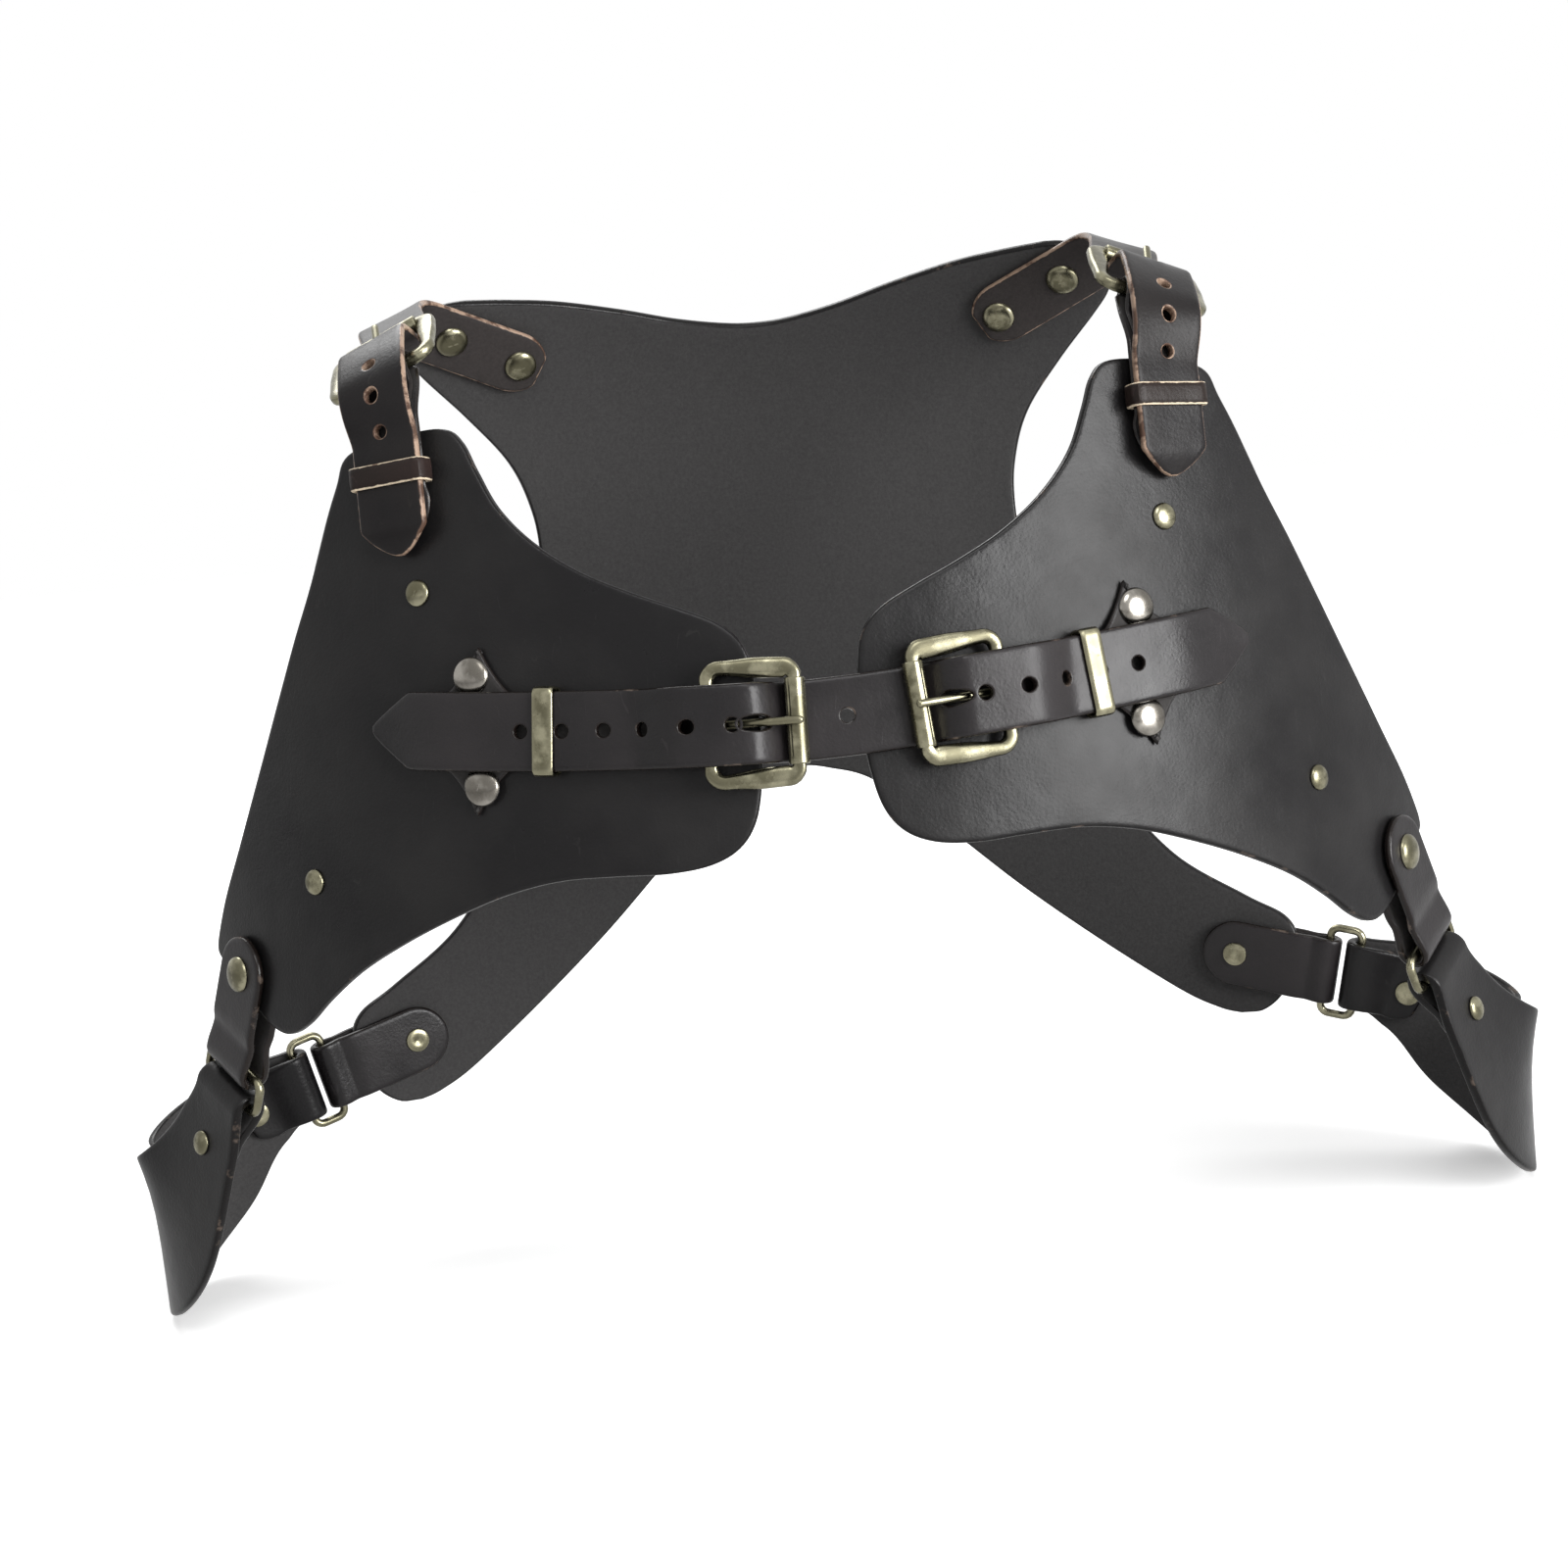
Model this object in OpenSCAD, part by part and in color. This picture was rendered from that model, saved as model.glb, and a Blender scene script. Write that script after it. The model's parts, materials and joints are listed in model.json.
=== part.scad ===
// Shoulder armour harness: two front panels, one back panel and two flank pieces of
// thick black leather, joined by buckled straps over the shoulders and the chest and
// by wire rings at the flanks. It is drawn as worn, with no wearer.
// X runs to the viewer's right, Y to the back and Z up. The origin is on the chest
// surface, in the middle of the chest strap. "left" is the viewer's left, at -X.
// Every leather piece is a flat pattern laid on a smooth form of the body.

/* [Body form] */
// Radius of the chest that the front panels lie on
chest_r = 250; // [235:5:280]
// How far the chest leans back, in mm for each mm of height
chest_lean = 0.158; // [0.1:0.01:0.2]
// Radius of the back that the back panel lies on
back_r = 345; // [320:5:390]
// Depth from the chest surface to the back surface
torso_depth = 222; // [212:1:240]
// Height where the back starts to lean forward to the shoulder
shoulder_start = 75; // [70:1:82]
// Radius of that forward lean
shoulder_lean_r = 75; // [70:1:88]

/* [Leather] */
// Thickness of the front, back and flank leather
panel_t = 3.6; // [3:0.1:4]
// Thickness of the straps
strap_t = 2.8; // [2.2:0.1:3.2]
// Width of the chest and shoulder straps
strap_w = 24; // [22.5:0.5:25]
// Thickness of the buckle bases and shoulder anchors
base_t = 2; // [1.6:0.1:2.4]
// Width of the narrow strip between a base and its buckle
strip_w = 21; // [18:0.5:22]
// Bevel along the outer edges
bevel = 0.6; // [0.3:0.1:0.9]
// Clearance between leather that lies on leather
lay_gap = 0.3; // [0.2:0.05:0.4]

/* [Chest strap] */
// Distance from the middle to the left roller, along the chest
roller_left = 4; // [3:0.5:8]
// Distance from the middle to the right roller, along the chest
roller_right = 31; // [27:0.5:32]
// Distance from the middle to the left tip
tip_left = 138; // [134:1:144]
// Distance from the middle to the right tip
tip_right = 144; // [138:1:148]
// Length of the pointed part of a chest strap tip
point_len = 15; // [10:1:18]
// How much the strap climbs towards its tips, for each mm
strap_climb = 0.06; // [0:0.01:0.08]
// Radius of a strap hole
hole_r = 2.1; // [1.6:0.1:2.4]
// Distance between strap holes
hole_pitch = 12.6; // [11.4:0.2:13.2]
// Place of the first free hole outside the left prong
hole_left = 21.7; // [21:0.1:23]
// Place of the first free hole outside the right prong
hole_right = 48.7; // [47.5:0.1:50]
// Place of the spare hole between the two buckles
hole_middle = 10.6; // [10:0.1:18]

/* [Buckles] */
// Distance from the chape bar to the roller bar
bar_gap = 26; // [25:0.5:27]
// Width of the frame over its arms
frame_w = 38; // [37:0.5:42]
// Thickness of the frame's arms
arm_d = 4.4; // [4.1:0.1:4.8]
// Width of the frame's arms near the roller
arm_wide = 6.2; // [5:0.2:6.4]
// Thickness of the two bars
bar_d = 4; // [3.4:0.1:4.2]
// Outer diameter of the roller
roller_d = 6.3; // [6:0.1:7]
// Length of the roller
roller_len = 25.4; // [25.2:0.2:27]
// Thickness of the prong
prong_d = 2.8; // [2.4:0.1:3]
// Running clearance of roller and prong on their bars
run_gap = 0.08; // [0.05:0.01:0.1]
// Lift of a prong that the fastened strap leaves, in degrees
prong_lift = 3; // [2:0.5:4]

/* [Bases and keepers] */
// Distance from the middle to the left base's rivets
patch_left = 101; // [99:1:106]
// Distance from the middle to the right base's rivets
patch_right = 103; // [102:1:106]
// Reach of a base's points above and below the strap's middle
patch_reach = 26; // [23.5:0.5:28]
// Half the length of a base's flared part
patch_len = 14; // [12:1:15]
// Distance of a base's rivets from the strap's middle
patch_rivet = 16.6; // [16:0.1:17.2]
// Distance from the middle to the left brass keeper
keeper_left = 77.5; // [74:0.5:80]
// Distance from the middle to the right brass keeper
keeper_right = 85; // [84:0.5:86]
// Width of a brass keeper
keeper_w = 6.5; // [5:0.5:7]
// Thickness of a brass keeper
keeper_t = 1; // [0.8:0.1:1.2]

/* [Shoulders] */
// Place of the shoulder strap across the front panel
shoulder_u = 120.5; // [117:0.5:123]
// Height of the strap's tip on the front panel
shoulder_tip = 59; // [57:1:61]
// Length of the pointed part of a shoulder strap tip
shoulder_point = 8; // [6:0.5:12]
// Height where the strap leaves the front panel
leave_v = 88; // [86:1:91]
// How much further out the shoulder roller lies than the strap on the front panel
crest_out = 2.1; // [0:0.1:4]
// Depth where the shoulder roller lies
crest_y = 79; // [76:1:82]
// Height of the shoulder under its roller
crest_z = 118; // [116:1:120]
// Length of strap that is riveted to the back panel
arm_lap = 42; // [39:1:45]
// Height of the leather keeper on the front panel
loop_v = 83.5; // [82:0.5:85]
// Width of the leather keeper
loop_w = 7; // [5:0.5:8]
// Thickness of the leather keeper
loop_t = 1.3; // [1:0.1:1.6]

/* [Flanks] */
// Wire diameter of the flank rings
ring_d = 3; // [2.6:0.1:3.2]
// Distance between a ring's two bars
ring_gap = 11.8; // [11.4:0.2:13]
// Clear length of a ring's bars
ring_len = 30; // [29.5:0.5:32]
// Width of the leather links
link_w = 25; // [22:0.5:26]
// Distance from a link's rivet to the ring's nearer bar
link_reach = 33; // [32:0.5:36]
// Outermost reach of the flank piece
flank_x = 246; // [240:1:252]
// Height of the flank piece's middle
flank_z = -172; // [-178:1:-166]
// Width of the flank piece at its middle
flank_mid_w = 58; // [50:1:62]
// Width of the flank piece near its ends
flank_end_w = 33; // [30:0.5:35]
// Room that a leather fold leaves round the ring's wire
eye_gap = 1.2; // [1.1:0.1:1.4]
// Gap that is left where the wire pulls on its fold
seat_gap = 0.4; // [0.35:0.05:0.5]

/* [Rivets] */
// Cap diameter of the large rivets
cap_d = 12; // [11:0.2:12.4]
// Cap diameter of the small rivets
stud_d = 8.4; // [7:0.2:9]
// Head diameter of the flat rivets under the shoulder straps
flat_d = 7; // [6:0.2:8]
// Head thickness of the flat rivets
flat_t = 0.8; // [0.6:0.1:1]
// Distance between the two flat rivets of an anchor
flat_pitch = 12; // [10:0.5:14]
// Radius of the rivet shanks
shank_r = 1.5; // [1.2:0.1:1.8]

/* [Hidden] */
$fn = 32;

leather = [0.11, 0.11, 0.12];
strap_black = [0.15, 0.14, 0.15];
keeper_brown = [0.35, 0.24, 0.18];
old_brass = [0.60, 0.56, 0.40];
nickel = [0.75, 0.74, 0.70];

// Outline of a front panel, laid flat: across the chest from its middle, and up.
// The upper edge runs from the chest end over the shoulder tab to the flank tab.
panel_upper = [
  [14.6, 1], [15.2, 14], [17.5, 24], [24, 31], [35, 36.5], [49, 42.5], [64, 50], [78, 60],
  [88, 71], [94, 83], [98, 92], [104, 96.5], [119, 96], [135, 93.5], [142, 90], [145.5, 83],
  [151, 73], [161, 53], [171, 36], [182, 17], [196, -6], [212, -30], [226, -49], [234, -62],
  [235.5, -66]
];
panel_lower = [
  [14.6, -1], [15.6, -14], [18.5, -27], [24, -35], [33, -39.5], [46, -41.2], [62, -41],
  [80, -41.5], [98, -45], [116, -51], [136, -59], [156, -68.5], [172, -78.5], [184, -87],
  [194, -91], [203, -89.5], [214, -83], [227, -74.5], [233.5, -70], [235.5, -68]
];
// Outline of the right half of the back panel: height, and across. The inner edge
// is the bottom arch and the neck, and the outer edge is the armhole.
arch_v = -43;
neck_v = 127;
back_arch = [
  [-151, 157], [-149, 150], [-142, 137], [-122, 110], [-98, 81], [-70, 51], [-51, 27],
  [-45, 11], [arch_v, 0]
];
back_neck = [
  [neck_v, 0], [127.8, 12], [131, 30], [136, 50], [140.5, 72], [142.5, 90], [143.4, 104]
];
back_armhole = [
  [-151, 160], [-150, 166], [-144, 172.5], [-134, 176.5], [-122, 179], [-113, 175],
  [-105, 162], [-88, 138], [-60, 118], [-22, 101], [20, 93.5], [52, 91], [70, 93], [86, 99],
  [103, 111.5], [118, 124], [126, 129], [134, 128.5], [140, 121], [142.8, 112], [143.4, 106]
];
// Places of rivets on the flat patterns
stud_upper = [118, 47.5];
stud_lower = [172, -41];
link_front = [215, -73];
link_rear = [158, -127];
// Where the shoulder strap meets the back panel's arm, and where it ends there
arm_start = [121, 137];
arm_run = [-0.905, -0.425];

function unit(v) = v / norm(v);
function mix(a, b, t) = a + (b - a) * t;
function clamp01(t) = min(1, max(0, t));
// Smooth step from a to b while x goes from x0 to x1
function ease(x, x0, x1, a, b) =
  let(t = clamp01((x - x0) / (x1 - x0)))
  mix(a, b, t * t * (3 - 2 * t));
// Smooth curve through points, n steps from each point to the next
function curve_point(p0, p1, p2, p3, t) =
  0.5 * (2 * p1 + (p2 - p0) * t + (2 * p0 - 5 * p1 + 4 * p2 - p3) * t * t
    + (3 * p1 - p0 - 3 * p2 + p3) * t * t * t);
function curve(pts, n) =
  let(m = len(pts) - 1)
  [for (k = [0 : m * n])
    let(i = min(m - 1, floor(k / n)), t = k / n - i)
    curve_point(pts[max(0, i - 1)], pts[i], pts[i + 1], pts[min(m, i + 2)], t)];
function bezier(a, b, c, d, t) =
  a * pow(1 - t, 3) + 3 * b * t * pow(1 - t, 2) + 3 * c * t * t * (1 - t) + d * pow(t, 3);
// Numbers from a to b in n steps, closer together at both ends
function spread(a, b, n) = [for (i = [0 : n]) mix(a, b, (1 - cos(180 * i / n)) / 2)];

// The chest: u runs round it from its middle, v up and w out from its surface
function chest_angle(u) = u / chest_r * 180 / PI;
function chest_n(u) =
  let(a = chest_angle(u))
  unit([sin(a), -cos(a), chest_lean * cos(a)]);
function chest(u, v, w = 0) =
  let(a = chest_angle(u))
  [chest_r * sin(a), chest_r * (1 - cos(a)) + chest_lean * v, v] + w * chest_n(u);

// The back: x runs across, v up and w out from its inner face
function back_lean(v) = pow(max(0, v - shoulder_start), 2) / (2 * shoulder_lean_r);
function back_slope(v) = max(0, v - shoulder_start) / shoulder_lean_r;
function back_n(x, v) = unit([x / back_r, 1, back_slope(v)]);
function back(x, v, w = 0) =
  [x, torso_depth - x * x / (2 * back_r) - back_lean(v), v] + w * back_n(x, v);

// Closed solid through rings of points, each ring with the same number
module loft(rings) {
  n = len(rings);
  k = len(rings[0]);
  last = (n - 1) * k;
  faces = concat(
    [for (i = [0 : n - 2], j = [0 : k - 1]) [i * k + j, i * k + (j + 1) % k, (i + 1) * k + (j + 1) % k]],
    [for (i = [0 : n - 2], j = [0 : k - 1]) [i * k + j, (i + 1) * k + (j + 1) % k, (i + 1) * k + j]],
    [for (j = [1 : k - 2]) [0, j + 1, j]],
    [for (j = [1 : k - 2]) [last, last + j, last + j + 1]]
  );
  polyhedron(points = [for (r = rings) each r], faces = faces);
}

// Rings of a strap along points c, with l across it, half widths h and thickness t.
// The thickness grows to the side of cross(l, run).
function strap_rings(c, l, h, t) =
  let(n = len(c))
  [for (i = [0 : n - 1])
    let(
      run = unit(c[min(n - 1, i + 1)] - c[max(0, i - 1)]),
      out = unit(cross(l[i], run)),
      across = cross(run, out),
      e = min(bevel, h[i] / 2)
    )
    [c[i] - h[i] * across, c[i] + h[i] * across,
      c[i] + h[i] * across + (t - e) * out, c[i] + (h[i] - e) * across + t * out,
      c[i] - (h[i] - e) * across + t * out, c[i] - h[i] * across + (t - e) * out]];

// Half width of a strap at distance d before its tip, with a pointed part this long
function tip_half(d, point) = mix(1.2, strap_w / 2, pow(clamp01(d / point), 0.85));
// Half width of a rounded strap at distance d before its end
function round_half(d, w) = d >= w / 2 ? w / 2 : max(1.5, sqrt(max(0, w * w / 4 - pow(w / 2 - d, 2))));

// Moves children to p, with their x axis along ax and their z axis near az
module place(p, ax, az) {
  x = unit(ax);
  y = unit(cross(az, x));
  z = cross(x, y);
  multmatrix([
    [x[0], y[0], z[0], p[0]],
    [x[1], y[1], z[1], p[1]],
    [x[2], y[2], z[2], p[2]],
    [0, 0, 0, 1]
  ]) children();
}

module side(s) {
  if (s < 0) mirror([1, 0, 0]) children();
  else children();
}

// Levels above the body, the same on the chest and on the shoulders
roller_r = roller_d / 2;
bar_r = bar_d / 2;
fold_r = bar_r + 0.25;
under_w = panel_t + lay_gap;
roller_h = under_w + strap_t + lay_gap + roller_r;
keeper_room = max(keeper_t, loop_t);
keeper_floor = panel_t + 0.2;
strip_floor = keeper_floor + keeper_room + 0.2;
patch_floor = panel_t + 0.15;
chape_h = strip_floor + base_t + fold_r;
over_w = chape_h + fold_r + base_t + 0.35;
level_w = strip_floor + base_t + lay_gap;
strap_top = level_w + strap_t;

// A buckle's place on a strap line: the chape bar lies bar_gap from the roller
function find_bar(line, roller, lo, hi, n = 24) =
  let(m = (lo + hi) / 2)
  n == 0 ? m
  : norm(line(m, chape_h) - roller) > bar_gap ? find_bar(line, roller, lo, m, n - 1)
  : find_bar(line, roller, m, hi, n - 1);

// Chest strap line: u from the middle, and its level w above the chest surface
function chest_v(u) = strap_climb * (sqrt(u * u + 900) - 30);
chest_line = function(u, w) chest(u, chest_v(u), w);
function chest_down(u) = unit(chest(u, chest_v(u) - 10) - chest(u, chest_v(u)));
function roller_u(s) = s < 0 ? roller_left : roller_right;
function patch_u(s) = s < 0 ? patch_left : patch_right;
function keeper_u(s) = s < 0 ? keeper_left : keeper_right;
function tip_u(s) = s < 0 ? tip_left : tip_right;
function hole_u(s) = s < 0 ? hole_left : hole_right;
function bar_at(s) =
  find_bar(chest_line, chest_line(roller_u(s), roller_h), roller_u(s), roller_u(s) + 2 * bar_gap);
bar_left = bar_at(-1);
bar_right = bar_at(1);
function bar_u(s) = s < 0 ? bar_left : bar_right;
hole_count = 5;

// Level of the chest strap's inner face at distance d from the middle
function chest_level(d, s) =
  let(r = roller_u(s), b = bar_u(s))
  d < r + 14 ? ease(d, r + 1.5, r + 14, under_w, over_w)
  : d < b + 23 ? ease(d, b + 6, b + 23, over_w, level_w)
  : ease(d, patch_u(s) + 8, tip_u(s), level_w, under_w + 0.5);

// Shoulder line: q is 0 where the strap leaves the front panel, negative on the panel.
// It climbs to the roller, goes over the shoulder and lies under the back panel's arm.
climb_len = 50;
over_len = 112;
arm_w = -strap_t - 0.7;
n_crest = unit([0.37, -0.32, 0.87]);
n_over = unit([0.33, 0.1, 0.93]);
leave = chest(shoulder_u, leave_v);
crest = [leave[0] + crest_out, crest_y, crest_z];
crest_run = [0, 0.94, 0.34];
leave_run = unit([0, chest_lean, 1]);
function arm_spot(d) = arm_start + d * arm_run;
arm_in = back(arm_start[0], arm_start[1], arm_w);
arm_dir = unit(back(arm_spot(5)[0], arm_spot(5)[1], arm_w) - arm_in);
q_crest = climb_len;
q_arm = climb_len + over_len;
q_end = q_arm + arm_lap;
q_tip = shoulder_tip - leave_v;
q_loop = loop_v - leave_v;
q_anchor = q_tip + 5.5;
function shoulder_base(q) =
  q <= 0 ? chest(shoulder_u, leave_v + q)
  : q <= q_crest ? bezier(leave, leave + 17 * leave_run, crest - 17 * crest_run, crest, q / climb_len)
  : q <= q_arm ? bezier(crest, crest + 36 * crest_run, arm_in - 26 * arm_dir, arm_in, (q - q_crest) / over_len)
  : back(arm_spot(q - q_arm)[0], arm_spot(q - q_arm)[1], arm_w);
function shoulder_n(q) =
  q <= 0 ? chest_n(shoulder_u)
  : q <= q_crest ? unit(mix(chest_n(shoulder_u), n_crest, ease(q, 0, q_crest, 0, 1)))
  : q <= q_crest + over_len / 2 ? unit(mix(n_crest, n_over, (q - q_crest) / over_len * 2))
  : q <= q_arm ? unit(mix(n_over, back_n(arm_start[0], arm_start[1]), (q - q_crest) / over_len * 2 - 1))
  : back_n(arm_spot(q - q_arm)[0], arm_spot(q - q_arm)[1]);
function shoulder_run(q) = unit(shoulder_base(q + 0.5) - shoulder_base(q - 0.5));
// Direction across the shoulder buckle, square to the way from its chape bar to its
// roller. The strap keeps it from the bar to the roller.
function lay_out(q) = unit(cross(shoulder_run(q), shoulder_n(q)));
lay_line = function(q, w) shoulder_base(q) + w * cross(lay_out(q), shoulder_run(q));
q_lay = find_bar(function(m, w) lay_line(-m, w), lay_line(q_crest, roller_h), -q_crest, 0) * -1;
buckle_out =
  unit(cross(lay_line(q_crest, roller_h) - lay_line(q_lay, chape_h), shoulder_n((q_lay + q_crest) / 2)));
function beside(v, run) = unit(v - (v * run) * run);
// Unit vector across the strap, towards the arm
function shoulder_out(q) =
  let(
    run = shoulder_run(q),
    hold = q < q_crest ? ease(q, 8, 22, 0, 1) : ease(q, q_crest + 4, q_crest + 30, 1, 0)
  )
  beside(mix(lay_out(q), buckle_out, hold), run);
function shoulder_up(q) = cross(shoulder_out(q), shoulder_run(q));
shoulder_line = function(q, w) shoulder_base(q) + w * shoulder_up(q);
q_bar = find_bar(function(m, w) shoulder_line(-m, w), shoulder_line(q_crest, roller_h), -q_crest, 0) * -1;

// Level of the shoulder strap's inner face above its line
function shoulder_level(q) =
  q < q_bar - 24 ? ease(q, q_tip, q_tip + 8, under_w + 1.4, level_w)
  : q < q_bar ? ease(q, q_bar - 23, q_bar - 6, level_w, over_w)
  : q < q_crest ? ease(q, q_crest - 14, q_crest - 1.5, over_w, under_w)
  : ease(q, q_crest + 8, q_crest + 50, under_w, 0);

// Prong: a straight rod from its eye on the chape bar, laid over the roller
prong_top = roller_h - chape_h + roller_r + prong_d / 2 + 0.12;
prong_rise = atan2(prong_top, bar_gap);
prong_len = norm([bar_gap, prong_top]) + 2.4;
eye_r = bar_r + 1.5;

// A buckle's chape bar, and its axes: towards its roller, across it and outwards
function axes(p, ax, az) = let(x = unit(ax), y = unit(cross(az, x))) [p, x, y, cross(x, y)];
function chest_buckle(s) =
  let(bar = chest_line(bar_u(s), chape_h), roller = chest_line(roller_u(s), roller_h))
  axes(bar, roller - bar, chest_n((bar_u(s) + roller_u(s)) / 2));
function shoulder_buckle() =
  let(bar = shoulder_line(q_bar, chape_h), roller = shoulder_line(q_crest, roller_h))
  axes(bar, roller - bar, cross(buckle_out, roller - bar));
module on_chest_buckle(s) {
  b = chest_buckle(s);
  side(s) place(b[0], b[1], b[3]) children();
}
module on_shoulder_buckle(s) {
  b = shoulder_buckle();
  side(s) place(b[0], b[1], b[3]) children();
}
// Fold of a leather strip round the chape bar of buckle b
fold_a = [for (a = [-67.5 : 22.5 : 90]) a];
function chape_fold(b) = [for (a = fold_a) b[0] + fold_r * (cos(a) * b[1] + sin(a) * b[3])];

// Closed wire frame: two bars across x, gap apart, and two arms with round corners
module wire_frame(gap, arm_y, corner, side_d, cross_d) {
  for (m = [-1, 1]) {
    translate([corner, m * arm_y, 0]) rotate([0, 90, 0]) cylinder(d = side_d, h = gap - 2 * corner);
    translate([corner, m * (arm_y - corner), 0])
      rotate([0, 0, m > 0 ? 90 : 180]) rotate_extrude(angle = 90) translate([corner, 0]) circle(d = side_d);
    translate([gap - corner, m * (arm_y - corner), 0])
      rotate([0, 0, m > 0 ? 0 : -90]) rotate_extrude(angle = 90) translate([corner, 0]) circle(d = side_d);
  }
  for (x = [0, gap])
    translate([x, -(arm_y - corner) - 0.01, 0])
      rotate([-90, 0, 0]) cylinder(d = cross_d, h = 2 * (arm_y - corner) + 0.02);
}

// Arm of a buckle frame: its middle line from the chape bar to the roller bar, and its width
frame_in = roller_len / 2 + 0.2;
corner_bar = (frame_w - arm_d) / 2 - frame_in;
corner_roller = (frame_w - arm_wide) / 2 - frame_in;
frame_line = concat(
  [for (a = [180 : -15 : 90]) [corner_bar * (1 + cos(a)), frame_in + corner_bar * sin(a)]],
  [for (k = [1 : 5]) mix([corner_bar, frame_in + corner_bar], [bar_gap - corner_roller, frame_in + corner_roller], k / 6)],
  [for (a = [90 : -15 : 0]) [bar_gap - corner_roller * (1 - cos(a)), frame_in + corner_roller * sin(a)]]
);
frame_widths = concat([for (k = [0 : 6]) arm_d], [for (k = [1 : 5]) mix(arm_d, arm_wide, k / 6)],
  [for (a = [90 : -15 : 0]) mix(arm_d, arm_wide, sin(a))]);

module buckle_frame() {
  n = len(frame_line);
  rings = [for (i = [0 : n - 1])
    let(
      d = frame_line[min(n - 1, i + 1)] - frame_line[max(0, i - 1)],
      run = i == 0 ? [0, 1] : i == n - 1 ? [0, -1] : d / norm(d)
    )
    [for (a = [0 : 22.5 : 337.5])
      let(w = frame_widths[i] / 2 * cos(a))
      [frame_line[i][0] + run[1] * w, frame_line[i][1] - run[0] * w, arm_d / 2 * sin(a)]]];
  for (m = [-1, 1]) rotate([m < 0 ? 180 : 0, 0, 0]) loft(rings);
  for (x = [0, bar_gap])
    translate([x, -frame_in - 0.5, 0]) rotate([-90, 0, 0]) cylinder(d = bar_d, h = 2 * frame_in + 1);
}

module buckle_roller() {
  translate([bar_gap, -roller_len / 2, 0]) rotate([-90, 0, 0]) difference() {
    cylinder(r = roller_r, h = roller_len);
    translate([0, 0, -1]) cylinder(r = bar_r + run_gap, h = roller_len + 2);
  }
}

module prong_rod(extra = 0) {
  rotate([0, 90 - prong_rise, 0]) translate([0, 0, bar_r + 0.7])
    cylinder(d1 = prong_d + 2 * extra, d2 = prong_d - 0.5 + 2 * extra, h = prong_len - bar_r - 0.7);
}

module buckle_prong() {
  difference() {
    union() {
      rotate([90, 0, 0]) cylinder(r = eye_r, h = 3.4, center = true);
      prong_rod();
    }
    rotate([90, 0, 0]) cylinder(r = bar_r + run_gap, h = 5, center = true);
  }
}

// Room that a prong takes in its strap, at rest and lifted
module prong_room() {
  for (a = [0, prong_lift]) rotate([0, -a, 0]) prong_rod(0.45);
}

// Slot in a fold for the prong's eye
module eye_slot() {
  translate([-eye_r - 0.6, -2.2, -eye_r - 0.4]) cube([2 * eye_r + 4, 4.4, 2 * eye_r + 2.4]);
}

// Band round a strap: inner width w, from level lo to level hi, thickness t
module band(w, lo, hi, t, len) {
  translate([-len / 2, 0, 0]) rotate([90, 0, 90]) linear_extrude(len) difference() {
    translate([-w / 2 - t, lo - t]) square([w + 2 * t, hi - lo + 2 * t]);
    translate([-w / 2, lo]) square([w, hi - lo]);
  }
}

// Rivet along z: shank from lo to hi, domed cap on top and a burr below
module rivet(lo, hi, d, burr = 0.75) {
  rise = d * 0.17;
  ball = (d * d / 4 + rise * rise) / (2 * rise);
  translate([0, 0, lo - 1]) cylinder(r = shank_r, h = hi - lo + 1.2);
  translate([0, 0, lo - 1.1]) cylinder(d = d * burr, h = 1);
  translate([0, 0, hi + 0.1]) {
    cylinder(d = d, h = 0.4);
    translate([0, 0, 0.4]) intersection() {
      translate([0, 0, rise - ball]) sphere(r = ball, $fn = 48);
      cylinder(d = d, h = rise + 1);
    }
  }
}

module flat_rivet(lo, hi) {
  translate([0, 0, lo - flat_t / 2]) cylinder(r = shank_r, h = hi - lo + flat_t);
  for (z = [lo - flat_t, hi]) translate([0, 0, z]) cylinder(d = flat_d, h = flat_t);
}

module shank_hole() {
  translate([0, 0, -16]) cylinder(r = shank_r + 0.1, h = 40);
}

// Places of the rivets, with z outwards
module at_chest(u, v) {
  place(chest(u, v), [0, chest_lean, 1], chest_n(u)) children();
}
module at_patch(s) {
  for (m = [-1, 1]) at_chest(patch_u(s), chest_v(patch_u(s)) + m * patch_rivet) children();
}
module at_studs() {
  for (p = [stud_upper, stud_lower]) at_chest(p[0], p[1]) children();
}
module at_anchor() {
  q = q_anchor + 5.5;
  for (m = [-1, 1])
    place(shoulder_line(q, 0) + m * flat_pitch / 2 * shoulder_out(q), shoulder_run(q), shoulder_up(q)) children();
}
module at_arm() {
  for (d = [arm_lap * 0.22, arm_lap * 0.82])
    place(shoulder_line(q_arm + d, 0), shoulder_run(q_arm + d), shoulder_up(q_arm + d)) children();
}

// Links: x runs from the rivet to the ring, z is out, z = 0 is the panel's inner face
front_p = chest(link_front[0], link_front[1]);
front_n = chest_n(link_front[0]);
front_run = unit(cross([0.573, 0.728, 0.376], front_n));
rear_p = back(link_rear[0], link_rear[1]);
rear_n = back_n(link_rear[0], link_rear[1]);
rear_run = unit([1, -link_rear[0] / back_r, -0.24]);
module at_front_link() {
  place(front_p, front_run, front_n) children();
}
module at_rear_link() {
  place(rear_p, rear_run, rear_n) children();
}
link_t = strap_t;
link_half = panel_t / 2 + 0.55;
eye_in = ring_d / 2 + eye_gap;
slack = eye_gap - seat_gap;
ring_x = link_reach + slack + ring_gap / 2;
fold_x = link_reach + 2 * slack + ring_gap;

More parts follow.
